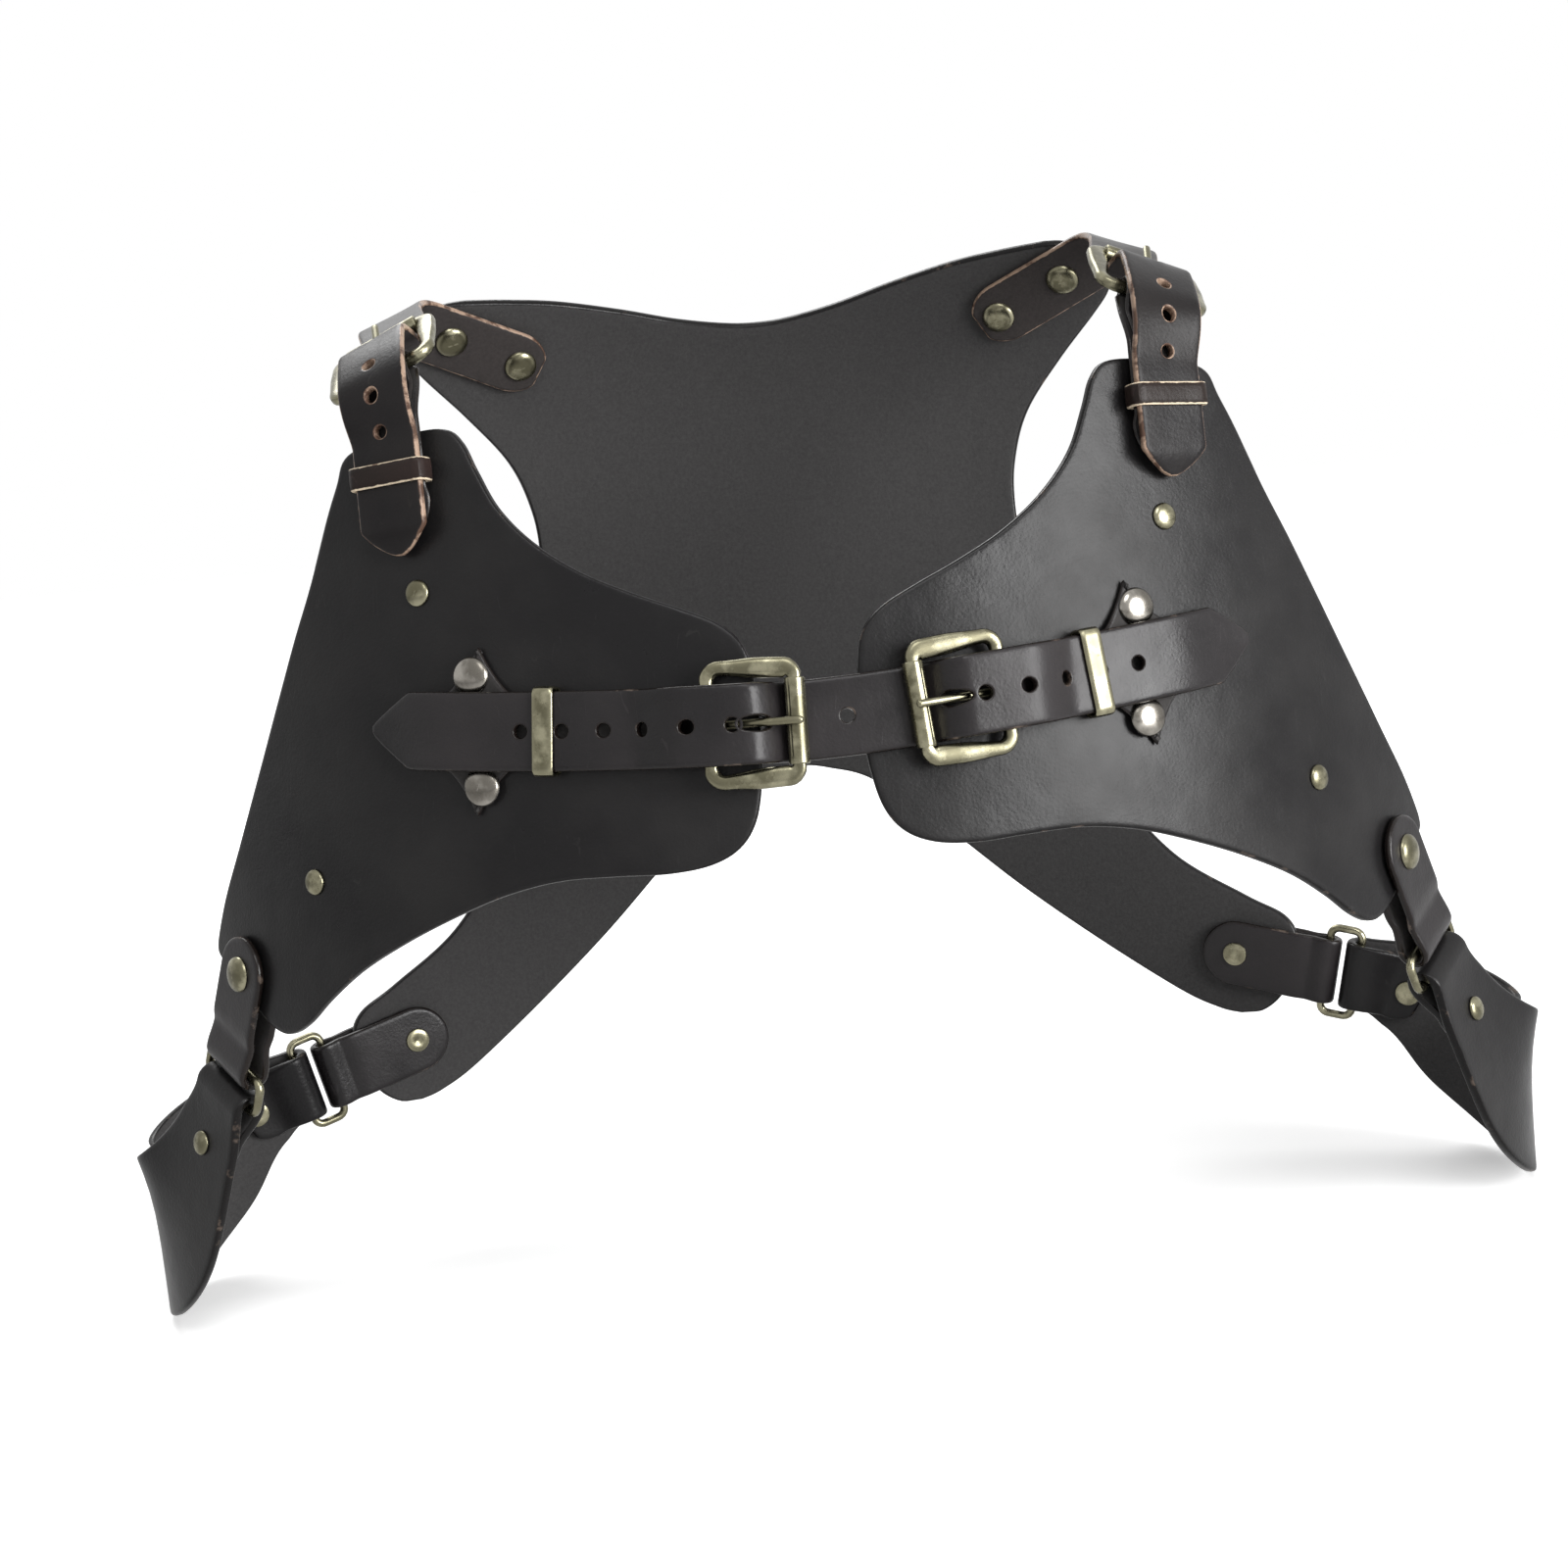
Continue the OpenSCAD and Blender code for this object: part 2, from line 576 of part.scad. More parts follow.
module link() {
  mid = panel_t / 2;
  difference() {
    intersection() {
      translate([0, link_w / 2, mid]) rotate([90, 0, 0]) linear_extrude(link_w) difference() {
        union() {
          translate([-link_w / 2, -link_half - link_t]) square([link_w / 2 + link_reach, 2 * (link_half + link_t)]);
          translate([link_reach, 0]) circle(r = eye_in + link_t);
        }
        translate([-link_w, -link_half]) square([link_w + link_reach, 2 * link_half]);
        translate([link_reach, 0]) circle(r = eye_in);
      }
      translate([0, 0, -20]) linear_extrude(40) union() {
        circle(d = link_w, $fn = 64);
        translate([0, -link_w / 2]) square([link_reach + 20, link_w]);
      }
    }
    shank_hole();
  }
}

module ring() {
  corner = 3.2;
  translate([link_reach + slack, 0, panel_t / 2])
    wire_frame(ring_gap, ring_len / 2 + corner - ring_d / 2, corner, ring_d, ring_d);
}

// Flank piece: one strip that folds round both rings, with a flap inside at each end.
// q runs along its inner face from the front ring to the rear ring.
flap_len = 24;
flank_rivet_q = 18;
function fold_at(p, run, n) = p + run * fold_x + n * (panel_t / 2);
front_fold = fold_at(front_p, front_run, front_n);
rear_n2 = unit(cross(rear_run, unit(cross(rear_n, rear_run))));
rear_fold = fold_at(rear_p, rear_run, rear_n2);
front_start = front_fold + front_n * eye_in;
rear_start = rear_fold + rear_n2 * eye_in;
flank_mid = [flank_x - panel_t, mix(front_fold[1], rear_fold[1], 0.5), flank_z];
flank_half_len = 88;
function flank_spot(q) =
  q <= flank_half_len
  ? bezier(front_start, front_start + 30 * front_run, flank_mid - [0, 36, -3], flank_mid, q / flank_half_len)
  : bezier(flank_mid, flank_mid + [0, 30, 2], rear_start + 34 * rear_run, rear_start, q / flank_half_len - 1);
front_l = unit(cross(front_run, front_n));
rear_l = unit(cross(-rear_run, rear_n2));
function flank_lean(q) =
  q <= flank_half_len ? unit(mix(front_l, [0, 0, -1], ease(q, 0, flank_half_len, 0, 1)))
  : unit(mix([0, 0, -1], rear_l, ease(q, flank_half_len, 2 * flank_half_len, 0, 1)));
function flank_run(q) = unit(flank_spot(min(2 * flank_half_len, q + 0.5)) - flank_spot(max(0, q - 0.5)));
function flank_n(q) = unit(cross(flank_lean(q), flank_run(q)));
function flank_l(q) = cross(flank_run(q), flank_n(q));
function flank_half_w(q) =
  let(d = min(q, 2 * flank_half_len - q), e = ease(d, 0, 14, link_w / 2 + 1.2, flank_end_w / 2))
  e + (flank_mid_w - flank_end_w) / 2 * pow(sin(90 * clamp01((d - 8) / (flank_half_len - 8))), 1.4);
function flap_gap(d) = ease(d, 0, 13, 2 * eye_in, lay_gap);

function flap_points(m) =
  [for (d = m > 0 ? [flap_len : -3 : 3] : [3 : 3 : flap_len])
    let(q = m > 0 ? d : 2 * flank_half_len - d)
    flank_spot(q) - flank_n(q) * flap_gap(d)];
function flap_widths(m) =
  [for (d = m > 0 ? [flap_len : -3 : 3] : [3 : 3 : flap_len]) round_half(flap_len - d + 2.5, link_w)];
function flap_across(m) =
  [for (d = m > 0 ? [flap_len : -3 : 3] : [3 : 3 : flap_len])
    flank_l(m > 0 ? d : 2 * flank_half_len - d)];

module flank_panel(s) {
  ring_a = [for (a = [0 : 22.5 : 157.5]) a];
  qs = concat([0, 3, 6, 9], [for (k = [2.6 : 1 : 26.6]) k * flank_half_len / 14.6],
    [for (k = [9, 6, 3, 0]) 2 * flank_half_len - k]);
  c = concat(
    flap_points(1),
    [for (a = ring_a) front_fold - front_run * eye_in * sin(a) - front_n * eye_in * cos(a)],
    [for (q = qs) flank_spot(q)],
    [for (a = [22.5 : 22.5 : 180]) rear_fold - rear_run * eye_in * sin(a) + rear_n2 * eye_in * cos(a)],
    flap_points(-1)
  );
  l = concat(flap_across(1), [for (a = ring_a) front_l], [for (q = qs) flank_l(q)],
    [for (a = ring_a) rear_l], flap_across(-1));
  h = concat(flap_widths(1), [for (a = ring_a) link_w / 2 + 1.2 * a / 180], [for (q = qs) flank_half_w(q)],
    [for (a = ring_a) link_w / 2 + 1.2 - 1.2 * a / 180], flap_widths(-1));
  side(s) color(leather) difference() {
    loft(strap_rings(c, l, h, panel_t));
    at_flank_rivets() shank_hole();
  }
}

module at_flank_rivets() {
  for (q = [flank_rivet_q, 2 * flank_half_len - flank_rivet_q])
    place(flank_spot(q), flank_run(q), flank_n(q)) children();
}

module back_panel() {
  m = 7;
  arch = curve(back_arch, 3);
  neck = curve(back_neck, 3);
  outer = curve(back_armhole, 3);
  low = back_armhole[0][0];
  high = back_armhole[len(back_armhole) - 1][0];
  below = [for (v = spread(low, arch_v, 13)) v];
  between = [for (v = spread(arch_v, shoulder_start, 6)) if (v > arch_v) v];
  above = [for (i = [1 : 10]) mix(shoulder_start, neck_v, i / 10)];
  top = [for (v = spread(neck_v, high, 10)) if (v > neck_v) v];
  heights = concat(below, between, above, top);
  n = len(heights);
  w = 2 * m + 2;
  joined = [for (h = heights) h >= arch_v && h <= neck_v];
  x_out = [for (h = heights) lookup(h, outer)];
  x_in = [for (i = [0 : n - 1]) joined[i] ? 0
    : min(x_out[i] - 2, max(1, lookup(heights[i], heights[i] < arch_v ? arch : neck)))];
  cols = concat([for (j = [m : -1 : 0]) [-1, j / m]], [for (j = [0 : m]) [1, j / m]]);
  function spot(i, c, lift) = back(cols[c][0] * mix(x_in[i], x_out[i], cols[c][1]), heights[i], lift);
  function id(i, c, layer) = layer * n * w + i * w + (joined[i] && c == m + 1 ? m : c);
  function quad(a, b, c, d) = [[a, b, c], [a, c, d]];
  // Inner and outer skin
  skins = [for (i = [0 : n - 2], c = [0 : w - 2]) if (c != m) each concat(
    quad(id(i, c, 0), id(i + 1, c, 0), id(i + 1, c + 1, 0), id(i, c + 1, 0)),
    quad(id(i, c, 1), id(i, c + 1, 1), id(i + 1, c + 1, 1), id(i + 1, c, 1)))];
  // Armhole edges on both sides
  sides = [for (i = [0 : n - 2]) each concat(
    quad(id(i, 0, 0), id(i, 0, 1), id(i + 1, 0, 1), id(i + 1, 0, 0)),
    quad(id(i, w - 1, 0), id(i + 1, w - 1, 0), id(i + 1, w - 1, 1), id(i, w - 1, 1)))];
  // Neck and arch edges
  inside = [for (i = [0 : n - 2]) if (!(joined[i] && joined[i + 1])) each concat(
    quad(id(i, m, 0), id(i + 1, m, 0), id(i + 1, m, 1), id(i, m, 1)),
    quad(id(i, m + 1, 0), id(i, m + 1, 1), id(i + 1, m + 1, 1), id(i + 1, m + 1, 0)))];
  // Ends of the four arms
  ends = [for (c = [0 : w - 2]) if (c != m) each concat(
    quad(id(0, c, 0), id(0, c + 1, 0), id(0, c + 1, 1), id(0, c, 1)),
    quad(id(n - 1, c, 0), id(n - 1, c, 1), id(n - 1, c + 1, 1), id(n - 1, c + 1, 0)))];
  pts = [for (layer = [0, 1], i = [0 : n - 1], c = [0 : w - 1]) spot(i, c, layer * panel_t)];
  color(leather) difference() {
    polyhedron(points = pts, faces = concat(skins, sides, inside, ends));
    for (s = [-1, 1]) side(s) {
      at_arm() shank_hole();
      at_rear_link() shank_hole();
    }
  }
}

module front_panel(s) {
  lower = curve(panel_lower, 3);
  upper = curve(panel_upper, 3);
  rings = [for (p = upper)
    let(u = p[0], hi = p[1], lo = min(hi - 0.8, lookup(u, lower)), e = min(bevel, (hi - lo) / 3))
    [chest(u, hi), chest(u, lo), chest(u, lo, panel_t - e),
      chest(u, lo + e, panel_t), chest(u, hi - e, panel_t), chest(u, hi, panel_t - e)]];
  color(leather) difference() {
    side(s) loft(rings);
    side(s) {
      at_patch(s) shank_hole();
      at_studs() shank_hole();
      at_anchor() shank_hole();
      at_front_link() shank_hole();
    }
  }
}

module chest_strap() {
  count = round((tip_left + tip_right) / 2.6);
  us = [for (k = [0 : count]) mix(-tip_left, tip_right, k / count)];
  c = [for (u = us) chest_line(u, chest_level(abs(u), u < 0 ? -1 : 1))];
  l = [for (u = us) chest_down(u)];
  h = [for (u = us) tip_half(tip_u(u < 0 ? -1 : 1) - abs(u), point_len)];
  color(strap_black) difference() {
    loft(strap_rings(c, l, h, strap_t));
    for (s = [-1, 1]) {
      on_chest_buckle(s) prong_room();
      for (k = [0 : hole_count - (s < 0 ? 0 : 1)]) side(s) strap_hole(hole_u(s) + k * hole_pitch, s);
    }
    strap_hole(hole_middle, 1);
  }
}

// Hole through the chest strap at distance d, square to the strap where it slopes
module strap_hole(d, s) {
  a = chest_line(d - 1.5, chest_level(d - 1.5, s));
  b = chest_line(d + 1.5, chest_level(d + 1.5, s));
  place((a + b) / 2, b - a, chest_n(d)) translate([0, 0, -2]) cylinder(r = hole_r, h = strap_t + 4);
}

module buckle_base(s) {
  pu = patch_u(s);
  bu = bar_u(s);
  ku = keeper_u(s) + keeper_w / 2 + 1;
  outer = [for (k = [0 : 22]) pu + patch_len + 2 - k * (2 * patch_len + 3) / 22];
  strip = [for (k = [1 : 12]) mix(outer[22], bu, k / 12)];
  ds = concat(outer, strip);
  ret = [for (k = [1 : 7]) bu + k * 16 / 7];
  floor_top = base_t + strip_floor;
  b = chest_buckle(s);
  turned = function(d) mix(chest_down(d), b[2], ease(d, bu + 14, bu + 2, 0, 1));
  c = concat(
    [for (d = ds) chest_line(d, ease(d, ku, pu - 4, floor_top, patch_floor + base_t))],
    chape_fold(b),
    [for (d = ret) chest_line(d, ease(d, bu + 1, bu + 10, chape_h + fold_r, floor_top + 0.15))]
  );
  l = concat([for (d = ds) turned(d)], [for (a = fold_a) b[2]], [for (d = ret) turned(d)]);
  flare = function(d)
    let(x = clamp01(1 - abs(d - pu) / patch_len))
    min(strip_w / 2 + (patch_reach - strip_w / 2) * pow(x, 1.7), round_half(pu + patch_len + 3 - d, strip_w) + 40 * x);
  h = concat([for (d = ds) flare(d)], [for (a = fold_a) strip_w / 2], [for (d = ret) strip_w / 2]);
  color(strap_black) difference() {
    side(s) loft(strap_rings(c, l, h, base_t));
    on_chest_buckle(s) eye_slot();
    side(s) at_patch(s) shank_hole();
  }
}

module shoulder_anchor(s) {
  qs = concat([for (k = [0 : 8]) q_anchor + k], [for (k = [1 : 16]) mix(q_anchor + 8, q_bar, k / 16)]);
  ret = [for (k = [1 : 7]) q_bar - k * 16 / 7];
  floor_top = base_t + strip_floor;
  b = shoulder_buckle();
  lift = q_loop - loop_w / 2 - 1;
  c = concat(
    [for (q = qs) shoulder_line(q, ease(q, lift - 4, lift, patch_floor + base_t, floor_top))],
    chape_fold(b),
    [for (q = ret) shoulder_line(q, ease(-q, 1 - q_bar, 10 - q_bar, chape_h + fold_r, floor_top + 0.15))]
  );
  l = concat([for (q = qs) -shoulder_out(q)], [for (a = fold_a) b[2]], [for (q = ret) -shoulder_out(q)]);
  h = concat([for (q = qs) round_half(q - q_anchor + 1, strip_w + 2)], [for (a = fold_a) strip_w / 2],
    [for (q = ret) strip_w / 2]);
  color(strap_black) difference() {
    side(s) loft(strap_rings(c, l, h, base_t));
    on_shoulder_buckle(s) eye_slot();
    side(s) at_anchor() shank_hole();
  }
}

module shoulder_strap(s) {
  body_start = q_tip + shoulder_point;
  count = round((q_end - body_start) / 3);
  qs = concat([for (k = [0 : 3]) q_tip + k * shoulder_point / 4],
    [for (k = [0 : count]) mix(body_start, q_end, k / count)]);
  c = [for (q = qs) shoulder_line(q, shoulder_level(q))];
  l = [for (q = qs) shoulder_out(q)];
  h = [for (q = qs) min(tip_half(q - q_tip, shoulder_point), round_half(q_end - q + 1.5, strap_w))];
  color(strap_black) difference() {
    side(s) loft(strap_rings(c, l, h, strap_t));
    on_shoulder_buckle(s) prong_room();
    side(s) {
      for (k = [0 : 2]) shoulder_hole(q_bar - 3 - k * 8.4);
      at_arm() shank_hole();
    }
  }
}

module shoulder_hole(q) {
  a = shoulder_line(q - 1.5, shoulder_level(q - 1.5));
  b = shoulder_line(q + 1.5, shoulder_level(q + 1.5));
  place((a + b) / 2, b - a, shoulder_up(q)) translate([0, 0, -2]) cylinder(r = hole_r, h = strap_t + 4);
}

module chest_keeper(s) {
  u = keeper_u(s);
  side(s) color(old_brass) place(chest_line(u, 0), chest_line(u + 1, 0) - chest_line(u - 1, 0), chest_n(u))
    band(strap_w + 0.8, keeper_floor + keeper_t, strap_top + 0.35, keeper_t, keeper_w);
}

module shoulder_keeper(s) {
  side(s) color(keeper_brown) place(shoulder_line(q_loop, 0), shoulder_run(q_loop), shoulder_n(q_loop))
    band(strap_w + 0.8, keeper_floor + loop_t, strap_top + 0.35, loop_t, loop_w);
}

module patch_rivets() {
  color(nickel) for (s = [-1, 1]) side(s) at_patch(s) rivet(0, patch_floor + base_t, cap_d);
}
module panel_studs() {
  color(old_brass) for (s = [-1, 1]) side(s) at_studs() rivet(0, panel_t, stud_d);
}
module strap_rivets() {
  color(old_brass) for (s = [-1, 1]) side(s) at_arm()
    rotate([180, 0, 0]) rivet(arm_w - panel_t, 0, cap_d);
}
module anchor_rivets() {
  color(old_brass) for (s = [-1, 1]) side(s) at_anchor() flat_rivet(-lay_gap, patch_floor + base_t + 0.1);
}
module link_rivets() {
  low = panel_t / 2 - link_half - link_t;
  color(old_brass) for (s = [-1, 1]) side(s) {
    at_front_link() rivet(low, panel_t - low, cap_d);
    at_rear_link() rivet(low, panel_t - low, cap_d);
  }
}
module flank_rivets(s) {
  color(old_brass) side(s) at_flank_rivets()
    rivet(-panel_t - flap_gap(flank_rivet_q) - 0.15, panel_t + 0.15, stud_d, 1.1);
}

back_panel();
front_panel(-1);  // front_panel_left
front_panel(1);  // front_panel_right
chest_strap();
buckle_base(-1);  // buckle_base_left
buckle_base(1);  // buckle_base_right
color(old_brass) on_chest_buckle(-1) buckle_frame();  // chest_frame_left
color(old_brass) on_chest_buckle(1) buckle_frame();  // chest_frame_right
color(old_brass) on_chest_buckle(-1) buckle_roller();  // chest_roller_left
color(old_brass) on_chest_buckle(1) buckle_roller();  // chest_roller_right
color(old_brass) on_chest_buckle(-1) buckle_prong();  // chest_prong_left
color(old_brass) on_chest_buckle(1) buckle_prong();  // chest_prong_right
chest_keeper(-1);  // chest_keeper_left
chest_keeper(1);  // chest_keeper_right
shoulder_strap(-1);  // shoulder_strap_left
shoulder_strap(1);  // shoulder_strap_right
shoulder_anchor(-1);  // shoulder_anchor_left
shoulder_anchor(1);  // shoulder_anchor_right
color(old_brass) on_shoulder_buckle(-1) buckle_frame();  // shoulder_frame_left
color(old_brass) on_shoulder_buckle(1) buckle_frame();  // shoulder_frame_right
color(old_brass) on_shoulder_buckle(-1) buckle_roller();  // shoulder_roller_left
color(old_brass) on_shoulder_buckle(1) buckle_roller();  // shoulder_roller_right
color(old_brass) on_shoulder_buckle(-1) buckle_prong();  // shoulder_prong_left
color(old_brass) on_shoulder_buckle(1) buckle_prong();  // shoulder_prong_right
shoulder_keeper(-1);  // shoulder_keeper_left
shoulder_keeper(1);  // shoulder_keeper_right
color(leather) side(-1) at_front_link() link();  // front_link_left
color(leather) side(1) at_front_link() link();  // front_link_right
color(leather) side(-1) at_rear_link() link();  // rear_link_left
color(leather) side(1) at_rear_link() link();  // rear_link_right
color(old_brass) side(-1) at_front_link() ring();  // front_ring_left
color(old_brass) side(1) at_front_link() ring();  // front_ring_right
color(old_brass) side(-1) at_rear_link() ring();  // rear_ring_left
color(old_brass) side(1) at_rear_link() ring();  // rear_ring_right
flank_panel(-1);  // flank_panel_left
flank_panel(1);  // flank_panel_right
patch_rivets();
panel_studs();
strap_rivets();
anchor_rivets();
link_rivets();
flank_rivets(-1);  // flank_rivets_left
flank_rivets(1);  // flank_rivets_right
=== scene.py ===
"""Shoulder armour harness of black dyed leather, drawn as worn.

Every leather piece is a flat pattern, cut with its holes, laid on the body's form or
bent round its hardware. The hardware is swept and turned. All lengths are in mm until
a mesh is made.
"""

import json
import math

import bmesh
import bpy
import numpy as np
from mathutils import Matrix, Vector
from mathutils.geometry import delaunay_2d_cdt


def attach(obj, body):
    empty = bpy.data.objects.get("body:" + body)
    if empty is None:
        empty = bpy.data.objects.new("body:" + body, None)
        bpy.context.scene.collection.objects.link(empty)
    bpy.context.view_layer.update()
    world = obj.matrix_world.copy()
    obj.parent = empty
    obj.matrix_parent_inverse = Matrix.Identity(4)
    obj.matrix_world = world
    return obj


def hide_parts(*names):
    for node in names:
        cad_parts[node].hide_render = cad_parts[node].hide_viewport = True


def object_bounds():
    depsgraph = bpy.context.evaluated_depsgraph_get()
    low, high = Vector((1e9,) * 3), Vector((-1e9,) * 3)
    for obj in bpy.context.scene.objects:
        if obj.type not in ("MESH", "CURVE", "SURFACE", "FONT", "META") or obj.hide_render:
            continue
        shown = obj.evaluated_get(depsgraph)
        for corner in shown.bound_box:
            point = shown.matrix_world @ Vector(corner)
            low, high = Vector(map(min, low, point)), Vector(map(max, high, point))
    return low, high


bl_info = {
    "name": "Leather Shoulder Harness",
    "version": (1, 0, 0),
    "blender": (4, 5, 0),
    "location": "View3D > Sidebar > Harness",
    "description": "Builds a buckled leather shoulder harness piece by piece",
    "category": "Add Mesh",
}

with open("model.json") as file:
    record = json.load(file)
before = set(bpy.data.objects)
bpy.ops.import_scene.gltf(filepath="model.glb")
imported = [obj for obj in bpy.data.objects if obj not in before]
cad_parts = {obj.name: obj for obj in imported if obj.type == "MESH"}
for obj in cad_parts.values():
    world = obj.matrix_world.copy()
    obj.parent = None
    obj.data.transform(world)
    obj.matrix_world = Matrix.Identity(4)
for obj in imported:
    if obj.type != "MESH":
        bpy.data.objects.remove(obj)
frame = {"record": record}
CAD_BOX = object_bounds()

# Places are given as u across the chest, v up, w out from the body, and q along a shoulder
# strap or a flank piece. A shoulder strap's q starts where it leaves the front panel.

# Body form
CHEST_R = 250.0         # radius of the chest, seen from above
CHEST_LEAN = 0.158      # how far the chest leans back, per mm of height
BACK_R = 345.0          # radius of the back, seen from above
TORSO_DEPTH = 222.0     # from chest to back in the middle
SHOULDER_START = 75.0   # height where the back starts to lean forward
SHOULDER_LEAN_R = 75.0  # radius of that lean

# Leather and clearances
PANEL_T = 3.6           # panels and flank pieces
STRAP_T = 2.8           # straps and links
STRAP_W = 24.0
BASE_T = 2.0            # buckle bases and anchors
STRIP_W = 21.0          # their strip, between the buckle's arms
LAY_GAP = 0.3           # leather lying on leather

# Buckles
BAR_GAP = 26.0          # chape bar to roller
FRAME_W = 38.0          # over the arms
ARM_D = 4.4             # thickness of an arm, and where it is widest
ARM_WIDE = 6.2
BAR_R = 2.0
ROLLER_R = 3.15
ROLLER_LEN = 25.4
RUN_GAP = 0.08          # roller and prong on their bars
FOLD_R = BAR_R + 0.25   # inside of the fold round the chape bar
KEEPER_T = 1.0          # brass keepers
LOOP_T = 1.3            # leather keepers

# Levels over the body, from a panel's inner face: lower and upper runs of a threaded strap
UNDER_W = PANEL_T + LAY_GAP
ROLLER_H = UNDER_W + STRAP_T + LAY_GAP + ROLLER_R
KEEPER_FLOOR = PANEL_T + 0.2
STRIP_FLOOR = KEEPER_FLOOR + max(KEEPER_T, LOOP_T) + 0.2
PATCH_FLOOR = PANEL_T + 0.15
CHAPE_H = STRIP_FLOOR + BASE_T + FOLD_R
OVER_W = CHAPE_H + FOLD_R + BASE_T + 0.35
LEVEL_W = STRIP_FLOOR + BASE_T + LAY_GAP
STRAP_TOP = LEVEL_W + STRAP_T

# A threaded strap changes level over these stretches: mm past the roller, and past the chape bar
ROLLER_RAMP = (1.5, 14.0)
BAR_RAMP = (6.0, 23.0)

# A prong lies on a slope, from its chape bar up over its roller
PRONG_OVER = 1.52       # its middle line over the roller
PRONG_RISE = ROLLER_H - CHAPE_H + ROLLER_R + PRONG_OVER
PRONG_SLOPE = math.atan2(PRONG_RISE, BAR_GAP)

# Places along the chest strap, from its middle: viewer's left, then right
ROLLER_U = {-1: 4.0, 1: 31.0}
PATCH_U = {-1: 101.0, 1: 103.0}
KEEPER_U = {-1: 77.5, 1: 85.0}
TIP_U = {-1: 138.0, 1: 144.0}
HOLE_PITCH = 12.6
HOLE_U = {-1: [21.7 + HOLE_PITCH * k for k in range(6)], 1: [48.7 + HOLE_PITCH * k for k in range(5)]}
HOLE_MIDDLE = 10.6      # the free hole between the buckles

# Chest strap and its buckle bases
STRAP_RISE = 0.06       # slope towards the sides
STRAP_ROUND = 30.0      # rounding of the dip in the middle
HOLE_R = 2.1
STRAP_SLOT = (4.6, 2.3)  # half length and half width of a prong's slot in a strap
FOLD_SLOT = (6.2, 2.3)  # and in a fold round the chape bar
POINT_LEN = 15.0        # pointed tip
PATCH_LEN = 14.0        # diamond patch: half its length along the strap
PATCH_REACH = 26.0      # and half its height
PATCH_RIVET = 16.6      # rivets above and below the strap's middle
UNDER_LEN = 16.0        # under-layer past the fold
KEEPER_W = 6.5          # width of a brass keeper along the strap
KEEPER_ROOM = 0.8       # a keeper's room beside the strap, both sides together
KEEPER_ROOF = STRAP_TOP + 0.35  # level of its upper inside

# Shoulder straps
SHOULDER_U = 120.5      # middle of the front panel's tab
LEAVE_V = 88.0          # where the strap leaves the panel
SHOULDER_POINT = 8.0    # pointed tip
Q_TIP = 59.0 - LEAVE_V
Q_LOOP = 83.5 - LEAVE_V
Q_ANCHOR = Q_TIP + 5.5
CREST_OUT = 2.1         # roller, on top of the shoulder: outwards, back and up
CREST_Y = 79.0
CREST_Z = 118.0
CREST_RUN = np.array([0.0, 0.94, 0.34])
CLIMB_LEN = 50.0        # from the panel to the roller
CLIMB_ARM = 17.0        # reach of that curve's ends
OVER_LEN = 112.0        # from the roller to the back panel's arm
OVER_ARMS = (36.0, 26.0)
TURN_IN = (8.0, 22.0)   # the strap turns to the buckle's direction between these places,
TURN_OUT = (4.0, 30.0)  # and back again so far past the roller
ARM_LAP = 42.0          # lap on the back panel's arm
ARM_W = -STRAP_T - 0.7  # level of the strap under the arm
ARM_START = np.array([121.0, 137.0])
ARM_RUN = np.array([-0.905, -0.425])
LOOP_W = 7.0            # width of a leather keeper along the strap
SHOULDER_HOLE_PITCH = 8.4
ARM_RIVETS = (0.22, 0.82)  # shares of the lap

# Rings, links and flank pieces
RING_R = 1.5            # wire
RING_GAP = 11.8         # between the middles of a ring's long sides
RING_LEN = 30.0
RING_BEND = 3.2
LINK_W = 25.0
LINK_REACH = 33.0       # from a link's rivet to its fold
LINK_GAP = 0.55         # leaf over the panel
LINK_PINCH = 1.5        # half the gap of its leaves, where they come together
EYE_R = RING_R + 1.2    # inside of a fold round a ring
SLACK = 0.8             # from the middle of a fold to the wire in it
FOLD_X = LINK_REACH + 2 * SLACK + RING_GAP
FLANK_X = 246.0         # outermost place of a flank piece, and its middle's height
FLANK_Z = -172.0
FLANK_MID_W = 58.0
FLANK_END_W = 33.0
FLANK_HALF_LEN = 88.0
FLANK_SWELL = (8.0, 74.0)  # it widens between these distances from its ends
FLANK_FRONT_ARMS = (30.0, 36.0)  # reach of its curves' ends, front half and rear half
FLANK_REAR_ARMS = (30.0, 34.0)
FOLD_FLARE = 1.2        # widening through a fold, on each side
FLAP_LEN = 24.0
FLAP_CLOSE = 13.0       # a flap lies flat this far from its fold
FLANK_RIVET_Q = 18.0

# Rivets
FLAT_D = 7.0            # flat rivets of the anchors
FLAT_T = 0.8
FLAT_PITCH = 12.0
SHANK_R = 1.5
BURR = 0.75             # a burr's width as a share of its cap's
WIDE_BURR = 1.1
STUDS = [(118.0, 47.5), (172.0, -41.0)]
LINK_FRONT = (215.0, -73.0)
LINK_REAR = (158.0, -127.0)
FRONT_ACROSS = [0.573, 0.728, 0.376]  # a front link runs square to this, along the chest
REAR_FALL = -0.24       # slope of a rear link

